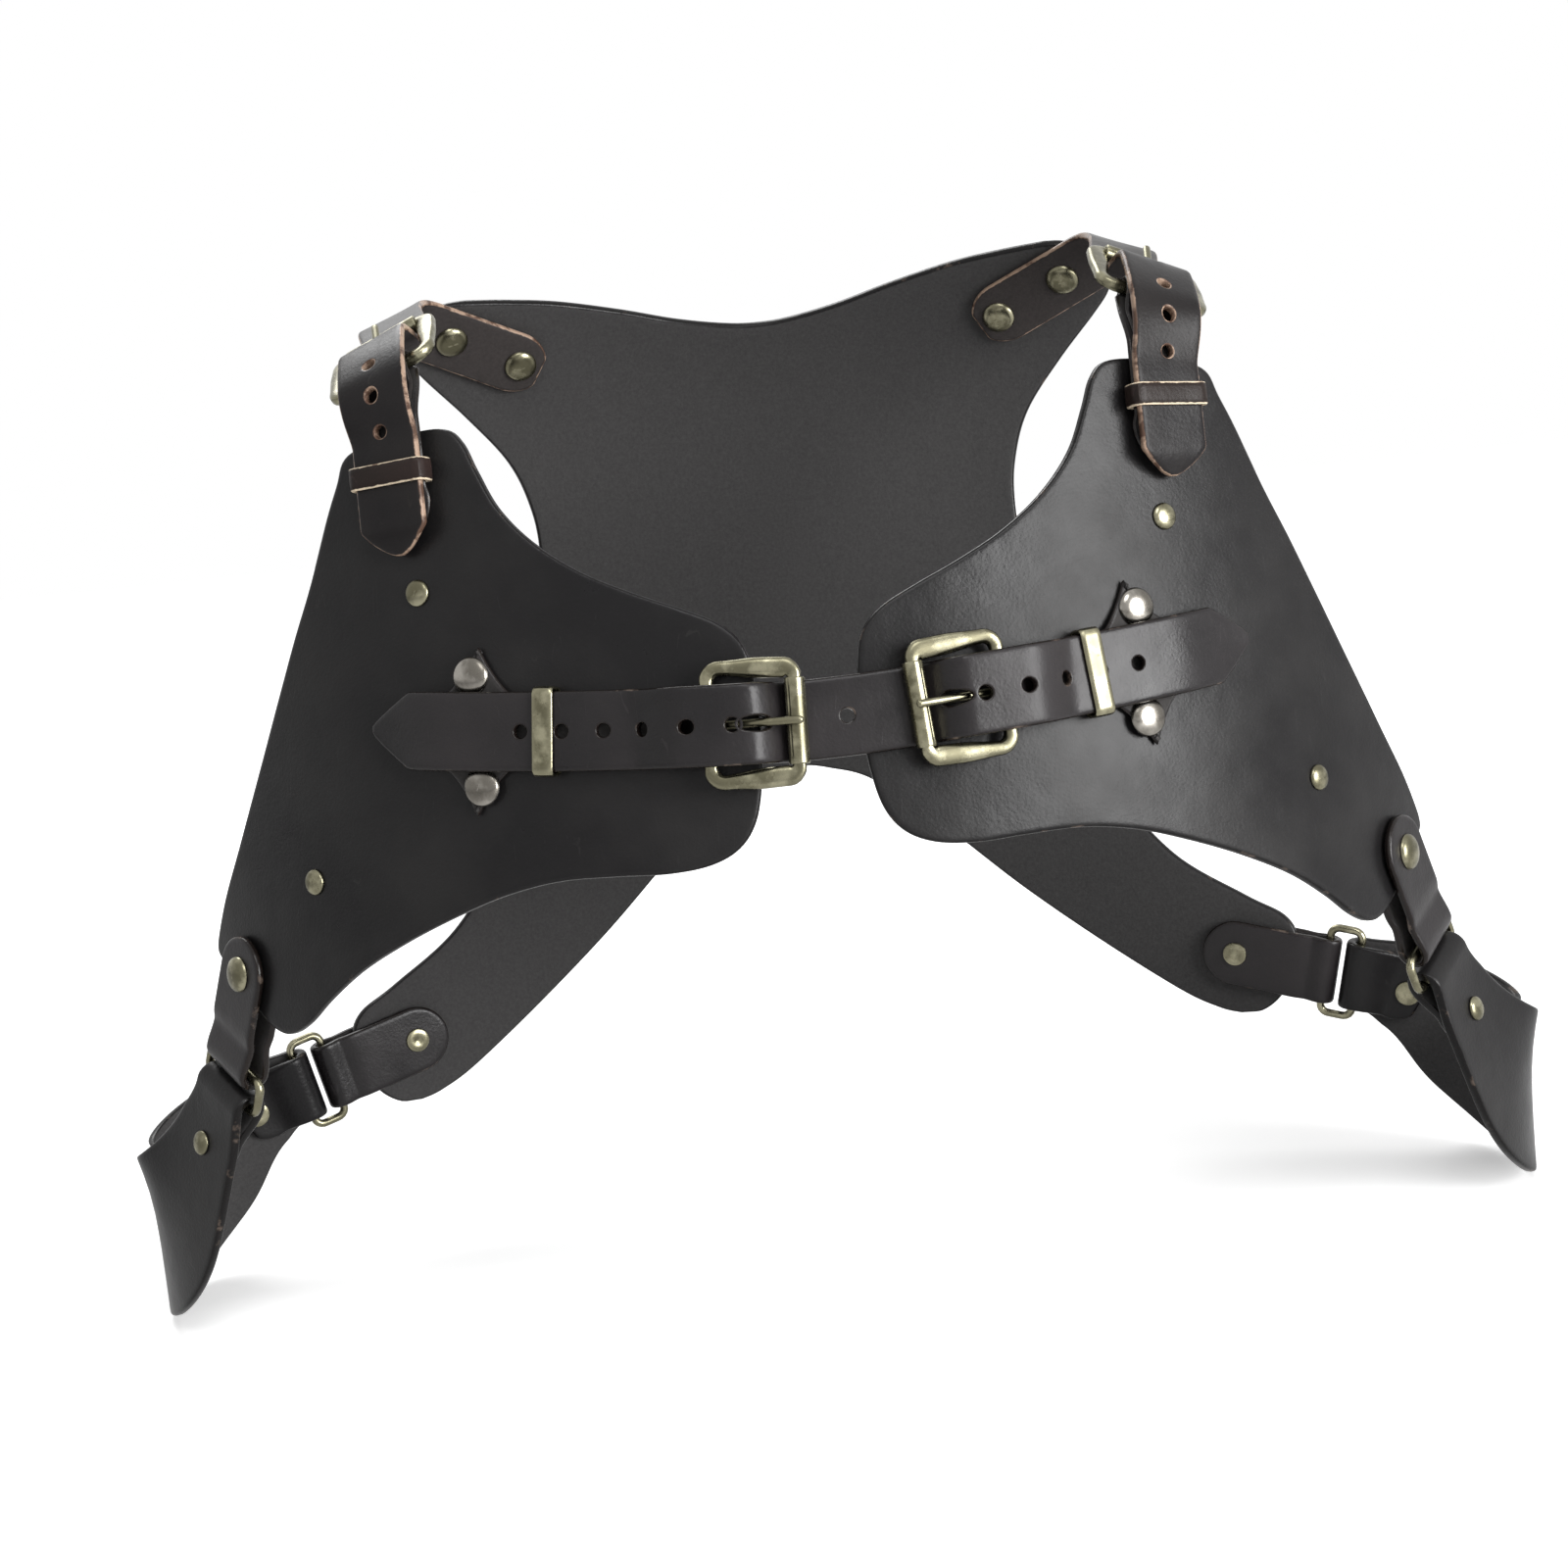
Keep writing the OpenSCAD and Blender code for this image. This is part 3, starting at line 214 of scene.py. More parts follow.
# Flat patterns, as the panels are cut: across, and up
PANEL_LOWER = [
    (14.6, -1), (15.6, -14), (18.5, -27), (24, -35), (33, -39.5), (46, -41.2), (62, -41), (80, -41.5),
    (98, -45), (116, -51), (136, -59), (156, -68.5), (172, -78.5), (184, -87), (194, -91), (203, -89.5),
    (214, -83), (227, -74.5), (233.5, -70), (235.5, -68),
]
PANEL_UPPER = [
    (14.6, 1), (15.2, 14), (17.5, 24), (24, 31), (35, 36.5), (49, 42.5), (64, 50), (78, 60), (88, 71),
    (94, 83), (98, 92), (104, 96.5), (119, 96), (135, 93.5), (142, 90), (145.5, 83), (151, 73), (161, 53),
    (171, 36), (182, 17), (196, -6), (212, -30), (226, -49), (234, -62), (235.5, -66),
]
BACK_ARCH = [
    (0, -43), (11, -45), (27, -51), (51, -70), (81, -98), (110, -122), (137, -142), (150, -149), (157, -151),
]
BACK_ARMHOLE = [
    (160, -151), (166, -150), (172.5, -144), (176.5, -134), (179, -122), (175, -113), (162, -105), (138, -88),
    (118, -60), (101, -22), (93.5, 20), (91, 52), (93, 70), (99, 86), (111.5, 103), (124, 118), (129, 126),
    (128.5, 134), (121, 140), (112, 142.8), (106, 143.4),
]
BACK_NECK = [(104, 143.4), (90, 142.5), (72, 140.5), (50, 136), (30, 131), (12, 127.8), (0, 127)]

# Side of a mirrored piece: -1 is the viewer's left
SIDES = {-1: "left", 1: "right"}


# Forms


def unit(v):
    v = np.asarray(v, float)
    return v / np.linalg.norm(v, axis=-1, keepdims=True)


def smooth(x, x0, x1, a, b):
    """Smooth step from a to b while x goes from x0 to x1."""
    t = np.clip((np.asarray(x, float) - x0) / (x1 - x0), 0, 1)
    return a + (b - a) * t * t * (3 - 2 * t)


def bezier(a, b, c, d, t):
    return a * (1 - t) ** 3 + 3 * b * t * (1 - t) ** 2 + 3 * c * t * t * (1 - t) + d * t**3


def closed_curve(points, step):
    """Smooth closed curve through the points, in even steps."""
    p = np.array(points, float)
    n = len(p)
    out = []
    for i in range(n):
        p0, p1, p2, p3 = p[i - 1], p[i], p[(i + 1) % n], p[(i + 2) % n]
        for t in np.linspace(0, 1, 12, endpoint=False):
            out.append(0.5 * (2 * p1 + (p2 - p0) * t + (2 * p0 - 5 * p1 + 4 * p2 - p3) * t * t
                              + (3 * p1 - p0 - 3 * p2 + p3) * t**3))
    return resample(np.array(out), step, True)


def resample(p, step, closed=False):
    """The line p again in even steps."""
    q = np.vstack([p, p[:1]]) if closed else p
    s = np.concatenate([[0], np.cumsum(np.linalg.norm(np.diff(q, axis=0), axis=1))])
    n = max(4, int(round(s[-1] / step)))
    t = np.linspace(0, s[-1], n, endpoint=False) if closed else np.linspace(0, s[-1], n + 1)
    return np.stack([np.interp(t, s, q[:, k]) for k in range(q.shape[1])], axis=1)


def chest_n(u):
    """Outward direction of the chest at u."""
    a = np.asarray(u, float) / CHEST_R
    return unit(np.stack([np.sin(a), -np.cos(a), CHEST_LEAN * np.cos(a)], axis=-1))


def chest(u, v, w=0.0):
    """A place on the chest: u across along the curve, v up, w outwards."""
    u, v, w = np.broadcast_arrays(*(np.asarray(x, float) for x in (u, v, w)))
    a = u / CHEST_R
    p = np.stack([CHEST_R * np.sin(a), CHEST_R * (1 - np.cos(a)) + CHEST_LEAN * v, v], axis=-1)
    return p + w[..., None] * chest_n(u)


def back_n(x, v):
    """Outward direction of the back."""
    x, v = np.broadcast_arrays(np.asarray(x, float), np.asarray(v, float))
    slope = np.maximum(0, v - SHOULDER_START) / SHOULDER_LEAN_R
    return unit(np.stack([x / BACK_R, np.ones_like(x), slope], axis=-1))


def back(x, v, w=0.0):
    """A place on the back: x across, v up, w outwards."""
    x, v, w = np.broadcast_arrays(*(np.asarray(a, float) for a in (x, v, w)))
    lean = np.maximum(0, v - SHOULDER_START) ** 2 / (2 * SHOULDER_LEAN_R)
    p = np.stack([x, TORSO_DEPTH - x * x / (2 * BACK_R) - lean, v], axis=-1)
    return p + w[..., None] * back_n(x, v)


def strap_rise(u):
    """Height of the chest strap's middle line: lowest between the panels, rising to both sides."""
    return STRAP_RISE * (np.sqrt(np.asarray(u, float) ** 2 + STRAP_ROUND**2) - STRAP_ROUND)


def chest_line(u, w=0.0):
    """The chest strap's middle line."""
    return chest(u, strap_rise(u), w)


def chest_down(u):
    """Across the chest strap, downwards."""
    return unit(chest(u, strap_rise(u) - 10) - chest(u, strap_rise(u)))


def find_bar(line, roller, lo, hi):
    """Place on a strap line where the chape bar lies BAR_GAP from the roller."""
    for _ in range(40):
        m = (lo + hi) / 2
        if np.linalg.norm(line(m, CHAPE_H) - roller) > BAR_GAP:
            hi = m
        else:
            lo = m
    return (lo + hi) / 2


BAR_U = {s: find_bar(chest_line, chest_line(u, ROLLER_H), u, u + 50) for s, u in ROLLER_U.items()}


def chest_level(d, s):
    """Level of the chest strap's inner face at distance d from the middle."""
    r, b = ROLLER_U[s], BAR_U[s]
    if d < r + ROLLER_RAMP[1]:
        return float(smooth(d, r + ROLLER_RAMP[0], r + ROLLER_RAMP[1], UNDER_W, OVER_W))
    if d < b + BAR_RAMP[1]:
        return float(smooth(d, b + BAR_RAMP[0], b + BAR_RAMP[1], OVER_W, LEVEL_W))
    return float(smooth(d, PATCH_U[s] + 8, TIP_U[s], LEVEL_W, UNDER_W + 0.5))


# A shoulder strap's upward directions at the roller and halfway to the back
N_CREST = unit([0.37, -0.32, 0.87])
N_OVER = unit([0.33, 0.1, 0.93])
LEAVE = chest(SHOULDER_U, LEAVE_V)
CREST = np.array([LEAVE[0] + CREST_OUT, CREST_Y, CREST_Z])
LEAVE_RUN = unit([0, CHEST_LEAN, 1])
Q_ARM = CLIMB_LEN + OVER_LEN
Q_END = Q_ARM + ARM_LAP


def arm_spot(d):
    """Place across and up on the back, at distance d along the strap's lap."""
    return ARM_START + d * ARM_RUN


ARM_IN = back(*ARM_START, ARM_W)
ARM_DIR = unit(back(*arm_spot(5), ARM_W) - ARM_IN)


def shoulder_base(q):
    """A shoulder strap's middle line, before its level is added."""
    if q <= 0:
        return chest(SHOULDER_U, LEAVE_V + q)
    if q <= CLIMB_LEN:
        leave, reach = LEAVE + CLIMB_ARM * LEAVE_RUN, CREST - CLIMB_ARM * CREST_RUN
        return bezier(LEAVE, leave, reach, CREST, q / CLIMB_LEN)
    if q <= Q_ARM:
        leave, reach = CREST + OVER_ARMS[0] * CREST_RUN, ARM_IN - OVER_ARMS[1] * ARM_DIR
        return bezier(CREST, leave, reach, ARM_IN, (q - CLIMB_LEN) / OVER_LEN)
    return back(*arm_spot(q - Q_ARM), ARM_W)


def shoulder_n(q):
    """Away from the body along a shoulder strap."""
    n0 = chest_n(SHOULDER_U)
    if q <= 0:
        return n0
    if q <= CLIMB_LEN:
        return unit(n0 + (N_CREST - n0) * float(smooth(q, 0, CLIMB_LEN, 0, 1)))
    t = (q - CLIMB_LEN) / OVER_LEN
    if t <= 0.5:
        return unit(N_CREST + (N_OVER - N_CREST) * 2 * t)
    if t <= 1:
        return unit(N_OVER + (back_n(*ARM_START) - N_OVER) * (2 * t - 1))
    return back_n(*arm_spot(q - Q_ARM))


def shoulder_run(q):
    return unit(shoulder_base(q + 0.5) - shoulder_base(q - 0.5))


def lay_out(q):
    """Across a shoulder strap that has no buckle on it, towards the arm."""
    return unit(np.cross(shoulder_run(q), shoulder_n(q)))


def lay_line(q, w):
    """A shoulder strap's line at level w, without the buckle's turn."""
    return shoulder_base(q) + w * np.cross(lay_out(q), shoulder_run(q))


# Across the shoulder buckle, square to the way from its chape bar to its roller
Q_LAY = -find_bar(lambda m, w: lay_line(-m, w), lay_line(CLIMB_LEN, ROLLER_H), -CLIMB_LEN, 0.0)
BAR_TO_ROLLER = lay_line(CLIMB_LEN, ROLLER_H) - lay_line(Q_LAY, CHAPE_H)
BUCKLE_OUT = unit(np.cross(BAR_TO_ROLLER, shoulder_n((Q_LAY + CLIMB_LEN) / 2)))


def shoulder_out(q):
    """Across the strap, towards the arm. The buckle's own direction holds from its bar to its roller."""
    run = shoulder_run(q)
    if q < CLIMB_LEN:
        hold = float(smooth(q, TURN_IN[0], TURN_IN[1], 0, 1))
    else:
        hold = float(smooth(q, CLIMB_LEN + TURN_OUT[0], CLIMB_LEN + TURN_OUT[1], 1, 0))
    lay = lay_out(q)
    v = lay + (BUCKLE_OUT - lay) * hold
    return unit(v - np.dot(v, run) * run)


def shoulder_up(q):
    """Square to a shoulder strap's face."""
    return np.cross(shoulder_out(q), shoulder_run(q))


def shoulder_line(q, w=0.0):
    """A shoulder strap's line at level w."""
    return shoulder_base(q) + w * shoulder_up(q)


Q_BAR = -find_bar(lambda m, w: shoulder_line(-m, w), shoulder_line(CLIMB_LEN, ROLLER_H), -CLIMB_LEN, 0.0)


def shoulder_level(q):
    """Level of a shoulder strap's inner face at distance q past the front panel's edge."""
    if q < Q_BAR - BAR_RAMP[1]:
        return float(smooth(q, Q_TIP, Q_TIP + 8, UNDER_W + 1.4, LEVEL_W))
    if q < Q_BAR:
        return float(smooth(q, Q_BAR - BAR_RAMP[1], Q_BAR - BAR_RAMP[0], LEVEL_W, OVER_W))
    if q < CLIMB_LEN:
        return float(smooth(q, CLIMB_LEN - ROLLER_RAMP[1], CLIMB_LEN - ROLLER_RAMP[0], OVER_W, UNDER_W))
    return float(smooth(q, CLIMB_LEN + 8, CLIMB_LEN + 50, UNDER_W, 0))


def tip_half(d, point):
    """Half width of a strap at distance d before its tip, with a pointed part this long."""
    blunt = 1.2
    return blunt + (STRAP_W / 2 - blunt) * min(1.0, max(0.0, d / point)) ** 0.85


def round_half(d, w):
    """Half width of a strap at distance d before its round end."""
    if d >= w / 2:
        return w / 2
    return max(1.5, math.sqrt(max(0.0, w * w / 4 - (w / 2 - d) ** 2)))


# Seats of the links, and the folds and middle line of the flank pieces
FRONT_P = chest(*LINK_FRONT)
FRONT_N = chest_n(LINK_FRONT[0])
FRONT_RUN = unit(np.cross(FRONT_ACROSS, FRONT_N))
REAR_P = back(*LINK_REAR)
REAR_RUN = unit([1, -LINK_REAR[0] / BACK_R, REAR_FALL])
REAR_N = unit(np.cross(REAR_RUN, unit(np.cross(back_n(*LINK_REAR), REAR_RUN))))
FRONT_FOLD = FRONT_P + FRONT_RUN * FOLD_X + FRONT_N * PANEL_T / 2
REAR_FOLD = REAR_P + REAR_RUN * FOLD_X + REAR_N * PANEL_T / 2
FRONT_START = FRONT_FOLD + FRONT_N * EYE_R
REAR_START = REAR_FOLD + REAR_N * EYE_R
FLANK_MID = np.array([FLANK_X - PANEL_T, (FRONT_FOLD[1] + REAR_FOLD[1]) / 2, FLANK_Z])
FRONT_L = unit(np.cross(FRONT_RUN, FRONT_N))
REAR_L = unit(np.cross(-REAR_RUN, REAR_N))
LINK_SEATS = {"front": (FRONT_P, FRONT_RUN, FRONT_N), "rear": (REAR_P, REAR_RUN, REAR_N)}
DOWN = np.array([0.0, 0.0, -1.0])
REARWARD = np.array([0.0, 1.0, 0.0])


def flank_spot(q):
    """Middle line of a flank piece's inner face, from its front fold to its rear one."""
    t = q / FLANK_HALF_LEN
    if t <= 1:
        leave, reach = FLANK_FRONT_ARMS
        leave, reach = FRONT_START + leave * FRONT_RUN, FLANK_MID - reach * REARWARD
        return bezier(FRONT_START, leave, reach, FLANK_MID, t)
    leave, reach = FLANK_REAR_ARMS
    leave, reach = FLANK_MID + leave * REARWARD, REAR_START + reach * REAR_RUN
    return bezier(FLANK_MID, leave, reach, REAR_START, t - 1)


def flank_run(q):
    return unit(flank_spot(min(2 * FLANK_HALF_LEN, q + 0.5)) - flank_spot(max(0, q - 0.5)))


def flank_n(q):
    """Outward direction of a flank piece: it turns upright towards the waist."""
    h = FLANK_HALF_LEN
    if q <= h:
        lean = unit(FRONT_L + (DOWN - FRONT_L) * float(smooth(q, 0, h, 0, 1)))
    else:
        lean = unit(DOWN + (REAR_L - DOWN) * float(smooth(q, h, 2 * h, 0, 1)))
    return unit(np.cross(lean, flank_run(q)))


def flank_l(q):
    return np.cross(flank_run(q), flank_n(q))


def flank_half_w(q):
    """Half width of a flank piece: it flares from the folds to the waist."""
    d = min(q, 2 * FLANK_HALF_LEN - q)
    end = float(smooth(d, 0, 14, LINK_W / 2 + FOLD_FLARE, FLANK_END_W / 2))
    start, full = FLANK_SWELL
    swell = math.sin(math.pi / 2 * min(1, max(0, (d - start) / (full - start)))) ** 1.5
    return end + (FLANK_MID_W - FLANK_END_W) / 2 * swell


def flap_gap(d):
    """Gap between a flank piece and its folded flap, at distance d from the fold."""
    return float(smooth(d, 0, FLAP_CLOSE, 2 * EYE_R, LAY_GAP))


class Line:
    """A bent strap: its inner face's middle line, with the direction across it at each point."""

    def __init__(self, points, across):
        c = np.array(points, float)
        keep = np.concatenate([[True], np.linalg.norm(np.diff(c, axis=0), axis=1) > 1e-4])
        c, across = c[keep], unit(np.array(across, float)[keep])
        self.keep = keep
        self.c = c
        self.s = np.concatenate([[0], np.cumsum(np.linalg.norm(np.diff(c, axis=0), axis=1))])
        run = unit(np.gradient(c, axis=0))
        self.out = unit(np.cross(across, run))
        self.across = np.cross(run, self.out)
        self.length = self.s[-1]

    def at(self, s, y, h):
        pick = [np.interp(s, self.s, a[:, k]) for a in (self.c, self.across, self.out) for k in range(3)]
        c, across, out = (np.stack(pick[k:k + 3], axis=-1) for k in (0, 3, 6))
        return c + np.asarray(y)[..., None] * unit(across) + np.asarray(h)[..., None] * unit(out)


# Meshes


def settings():
    return bpy.context.scene.harness


def body_of(node):
    for body, nodes in frame["record"]["behaviour"]["bodies"].items():
        if node in nodes:
            return body
    raise RuntimeError(f"no body holds {node}")


def finish_piece(name, bm, finish, nodes, rim=None, depth=None, angle=40.0):
    """Turns a bmesh in mm into a piece that stands for its CAD nodes.

    rim is each point's distance from a cut edge in mm, depth its share of the thickness from
    the flesh side, and angle the least turn in degrees that stays sharp.
    """
    bmesh.ops.recalc_face_normals(bm, faces=bm.faces)
    mesh = bpy.data.meshes.new(name)
    bm.to_mesh(mesh)
    bm.free()
    mesh.transform(Matrix.Scale(0.001, 4))
    mesh.polygons.foreach_set("use_smooth", [True] * len(mesh.polygons))
    for key, values in (("rim", rim), ("depth", depth)):
        if values is not None:
            attribute = mesh.attributes.new(key, "FLOAT", "POINT")
            attribute.data.foreach_set("value", np.array(values, np.float32))
    mesh.materials.append(material_for(finish))
    piece = bpy.data.objects.new(name, mesh)
    bpy.context.scene.collection.objects.link(piece)
    if angle:
        mesh.set_sharp_from_angle(angle=math.radians(angle))
    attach(piece, body_of(nodes[0]))
    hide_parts(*nodes)
    return piece


# Section of a cut leather edge: distance in from the edge, and depth from each face
EDGE = [(2.0, 0.0), (1.25, 0.03), (0.7, 0.16), (0.3, 0.42), (0.07, 0.85)]
HOLE_EDGE_SCALE = 0.42
HOLE_POINTS = 20

# Points inside a leather piece: their least gap to a cut edge, and the edge distance given
# to those with no outer edge near
LEAST_GAP = 0.7
FAR_IN = 9.0

# Straps: spacing of their outline, radians of bend between rows and the rows' least and
# greatest spacing; rows closer than CLOSE_ROWS go on into the outline
OUTLINE_STEP = 1.3
ROW_BEND = 0.25
ROW_STEPS = (0.55, 2.6)
CLOSE_ROWS = 1.2
ROW_POINTS = np.linspace(-1, 1, 9)[1:-1]
OUTLINE_LEAST = 0.25
FOLD_POINTS = 26


def edge_profile(t, scale):
    """Rings round a cut edge, from the top face down: distance in from the edge, and height."""
    k = min(scale, t / 2)
    top = [(d * k, t - h * k) for d, h in EDGE]
    low = [(d * k, h * k) for d, h in reversed(EDGE)]
    return top + [(0.0, t / 2)] + low


def loop_normals(p):
    run = unit(np.roll(p, -1, axis=0) - np.roll(p, 1, axis=0))
    return np.stack([-run[:, 1], run[:, 0]], axis=1)


def distance_to(points, loops):
    """Each point's distance to the nearest corner of the loops, in blocks that fit in memory."""
    best = np.full(len(points), 1e9)
    block = 2000
    for loop in loops:
        for start in range(0, len(points), block):
            part = points[start:start + block]
            d = np.linalg.norm(part[:, None] - loop[None], axis=2).min(axis=1)
            best[start:start + block] = np.minimum(best[start:start + block], d)
    return best


def inside(points, loop):
    """Which points lie inside a closed loop."""
    x, y = points[:, 0], points[:, 1]
    hit = np.zeros(len(points), bool)
    for (x0, y0), (x1, y1) in zip(loop, np.roll(loop, -1, axis=0)):
        if y0 != y1:
            hit ^= ((y0 > y) != (y1 > y)) & (x < (x1 - x0) * (y - y0) / (y1 - y0) + x0)
    return hit


def hole_loop(x, y, rx, ry):
    """Punched hole, the other way round than an outline."""
    a = np.linspace(0, -2 * np.pi, HOLE_POINTS, endpoint=False)
    return np.stack([x + rx * np.cos(a), y + ry * np.sin(a)], axis=1)


def edge_rings(loops, t):
    """Points of all cut edges: flat places, heights, distances in, and the rings of each loop."""
    flat, height, inward, rings = [], [], [], []
    count = 0
    for loop, scale in loops:
        n = loop_normals(loop)
        rings.append([])
        for d, h in edge_profile(t, scale):
            flat.append(loop + n * d)
            height.append(np.full(len(loop), h))
            inward.append(np.full(len(loop), d))
            rings[-1].append(np.arange(count, count + len(loop)))
            count += len(loop)
    return np.vstack(flat), np.concatenate(height), np.concatenate(inward), rings


def sheet_points(rows, outline, inset):
    """Those of the rows' points that lie in the sheet and clear of its rims, with their gaps."""
    rows = np.asarray(rows, float)
    rows = rows[inside(rows, outline)]
    gaps = distance_to(rows, inset[:1])
    clear = (gaps > LEAST_GAP) & (distance_to(rows, inset[1:]) > LEAST_GAP)
    return rows[clear], gaps[clear]


def cut_sheet(inset, inner):
    """Triangles between the rims: the sheet's points, where each given point went, and the faces."""
    points = np.vstack(inset + [inner])
    edges, start = [], 0
    for ring in inset:
        n = len(ring)
        edges += [(start + i, start + (i + 1) % n) for i in range(n)]
        start += n
    out, _, faces, source, _, _ = delaunay_2d_cdt([tuple(p) for p in points], edges, [], 1, 1e-6)
    sheet = np.array([tuple(p) for p in out])
    where = {given: k for k, members in enumerate(source) for given in members}
    middle = np.array([sheet[list(f)].mean(axis=0) for f in faces])
    hole = np.zeros(len(faces), bool)
    for ring in inset[1:]:
        hole |= inside(middle, ring)
    return sheet, where, [f for f, gone in zip(faces, hole) if not gone]


def leather(name, outline, holes, rows, place, t, finish, nodes, mirror=False):
    """Cuts one leather piece: an outline, its holes, and points inside that carry the bend.

    Every point is flat first. The cut edges are rings with the burnished section, the grain
    and flesh sides are one sheet of triangles each, and place() then bends it all.
    """
    loops = [(np.asarray(outline, float), 1.0)]
    loops += [(hole_loop(*hole), HOLE_EDGE_SCALE) for hole in holes]
    flat, height, inward, rings = edge_rings(loops, t)
    inset = [flat[ids[0]] for ids in rings]
    inner, gaps = sheet_points(rows, loops[0][0], inset)
    sheet, where, triangles = cut_sheet(inset, inner)
    sheet_rim = np.full(len(sheet), FAR_IN)
    rim_count = sum(len(ring) for ring in inset)
    for i, gap in enumerate(gaps):
        sheet_rim[where[rim_count + i]] = gap + EDGE[0][0]
    for i in range(len(inset[0])):
        sheet_rim[where[i]] = inward[0]
    p = np.vstack([flat, sheet, sheet])
    height = np.concatenate([height, np.full(len(sheet), t), np.zeros(len(sheet))])
    rim = np.concatenate([inward, sheet_rim, sheet_rim])
    xyz = place(p[:, 0], p[:, 1], height)
    if mirror:
        xyz = xyz * [-1, 1, 1]
    bm = bmesh.new()
    tags = bm.verts.layers.int.new("source")
    verts = [bm.verts.new(v) for v in xyz]
    for k, v in enumerate(verts):
        v[tags] = k
    top, low = len(flat), len(flat) + len(sheet)
    for f in triangles:
        bm.faces.new([verts[top + k] for k in f])
        bm.faces.new([verts[low + k] for k in reversed(f)])
    start = 0
    for ids in rings:
        n = len(ids[0])
        met = [where[start + i] for i in range(n)]
        levels = [[top + k for k in met], *ids[1:-1], [low + k for k in met]]
        for a, b in zip(levels, levels[1:]):
            for i in range(n):
                quad = dict.fromkeys([a[i], b[i], b[(i + 1) % n], a[(i + 1) % n]])
                if len(quad) >= 3:
                    bm.faces.new([verts[k] for k in quad])
        start += n
    bmesh.ops.delete(bm, geom=[v for v in bm.verts if not v.link_faces], context="VERTS")
    order = [v[tags] for v in bm.verts]
    bm.verts.layers.int.remove(tags)
    return finish_piece(name, bm, finish, nodes, rim[order], height[order] / t, angle=None)


def grid(lo, hi, step):
    """Staggered points over a rectangle."""
    xs = np.arange(lo[0], hi[0], step)
    ys = np.arange(lo[1], hi[1], step * 0.87)
    return [(x + (k % 2) * step / 2, y) for k, y in enumerate(ys) for x in xs]


def strap(name, line, half, holes, t, finish, nodes, mirror=False):
    """Leather strap along a line: half is its half width at each point of the line."""
    s = line.s
    half = np.asarray(half, float)[line.keep]
    right = np.stack([s, -half], axis=1)
    left = np.stack([s, half], axis=1)[::-1]
    outline = resample(np.vstack([right, left]), OUTLINE_STEP, True)
    # Rows of points lie as close together as the bend needs, and so does the outline there
    bend = np.linalg.norm(np.diff(line.out, axis=0), axis=1) / np.maximum(np.diff(s), 1e-6)
    step = np.interp(s, (s[1:] + s[:-1]) / 2, np.clip(ROW_BEND / np.maximum(bend, 1e-4), *ROW_STEPS))
    rows, at = [], 0.0
    while at < line.length:
        rows.append(at)
        at += float(np.interp(at, s, step))
    rows = np.array(rows)
    widths = np.interp(rows, s, half)
    close = [r for r in rows if np.interp(r, s, step) < CLOSE_ROWS]
    extra = np.array([(r, sign * np.interp(r, s, half)) for r in close for sign in (-1, 1)])
    if len(extra):
        outline = merge_outline(outline, extra, line.length)
    inner = [(r, f * w) for r, w in zip(rows, widths) for f in ROW_POINTS]
    return leather(name, outline, holes, inner, line.at, t, finish, nodes, mirror)


def merge_outline(outline, extra, length):
    """Adds points to a strap's outline, in order round it."""
    both = np.vstack([outline, extra])
    along, off = np.round(both[:, 0], 3), np.abs(both[:, 1])
    off = np.where(along < length / 2, off, -off)
    low, high = np.flatnonzero(both[:, 1] < 0), np.flatnonzero(both[:, 1] >= 0)
    low = low[np.lexsort((off[low], along[low]))]
    high = high[np.lexsort((-off[high], -along[high]))]
    p = both[np.concatenate([low, high])]
    keep = np.linalg.norm(p - np.roll(p, 1, axis=0), axis=1) > OUTLINE_LEAST
    return p[keep]


def skin(bm, sections, closed=True):
    """Faces over a row of sections, each the same count of points; an open row gets both ends."""
    rows = [[bm.verts.new(p) for p in section] for section in sections]
    n = len(rows[0])
    for a, b in zip(rows, rows[1:] + rows[:1] if closed else rows[1:]):
        for i in range(n):
            bm.faces.new([a[i], a[(i + 1) % n], b[(i + 1) % n], b[i]])
    if not closed:
        bm.faces.new(list(reversed(rows[0])))
        bm.faces.new(rows[-1])


def sweep(name, sections, finish, nodes):
    """A piece with one closed row of sections."""
    bm = bmesh.new()
    skin(bm, sections)
    return finish_piece(name, bm, finish, nodes)


def turned(profile, spot, n=36):
    """Sections of a turned shape: profile is radius and height, spot places x, y, z."""
    a = np.linspace(0, 2 * np.pi, n, endpoint=False)
    return [spot(np.stack([r * np.cos(a), r * np.sin(a), np.full(n, z)], axis=1)) for r, z in profile]


class Spot:
    """Places local points at p, with local x along ax and local z near az."""

    def __init__(self, p, ax, az, mirror=False):
        x = unit(ax)
        y = unit(np.cross(az, x))
        self.m = np.array([x, y, np.cross(x, y)])
        self.p = np.asarray(p, float)
        self.mirror = mirror

    def __call__(self, local):
        world = np.asarray(local, float) @ self.m + self.p
        return world * [-1, 1, 1] if self.mirror else world


def chest_buckle(s):
    bar = chest_line(BAR_U[s], CHAPE_H)
    roller = chest_line(ROLLER_U[s], ROLLER_H)
    return Spot(bar, roller - bar, chest_n((BAR_U[s] + ROLLER_U[s]) / 2), s < 0)


def shoulder_buckle(s):
    bar = shoulder_line(Q_BAR, CHAPE_H)
    roller = shoulder_line(CLIMB_LEN, ROLLER_H)
    return Spot(bar, roller - bar, np.cross(BUCKLE_OUT, roller - bar), s < 0)


def at_chest(u, v, s):
    return Spot(chest(u, v), [0, CHEST_LEAN, 1], chest_n(u), s < 0)


# Materials


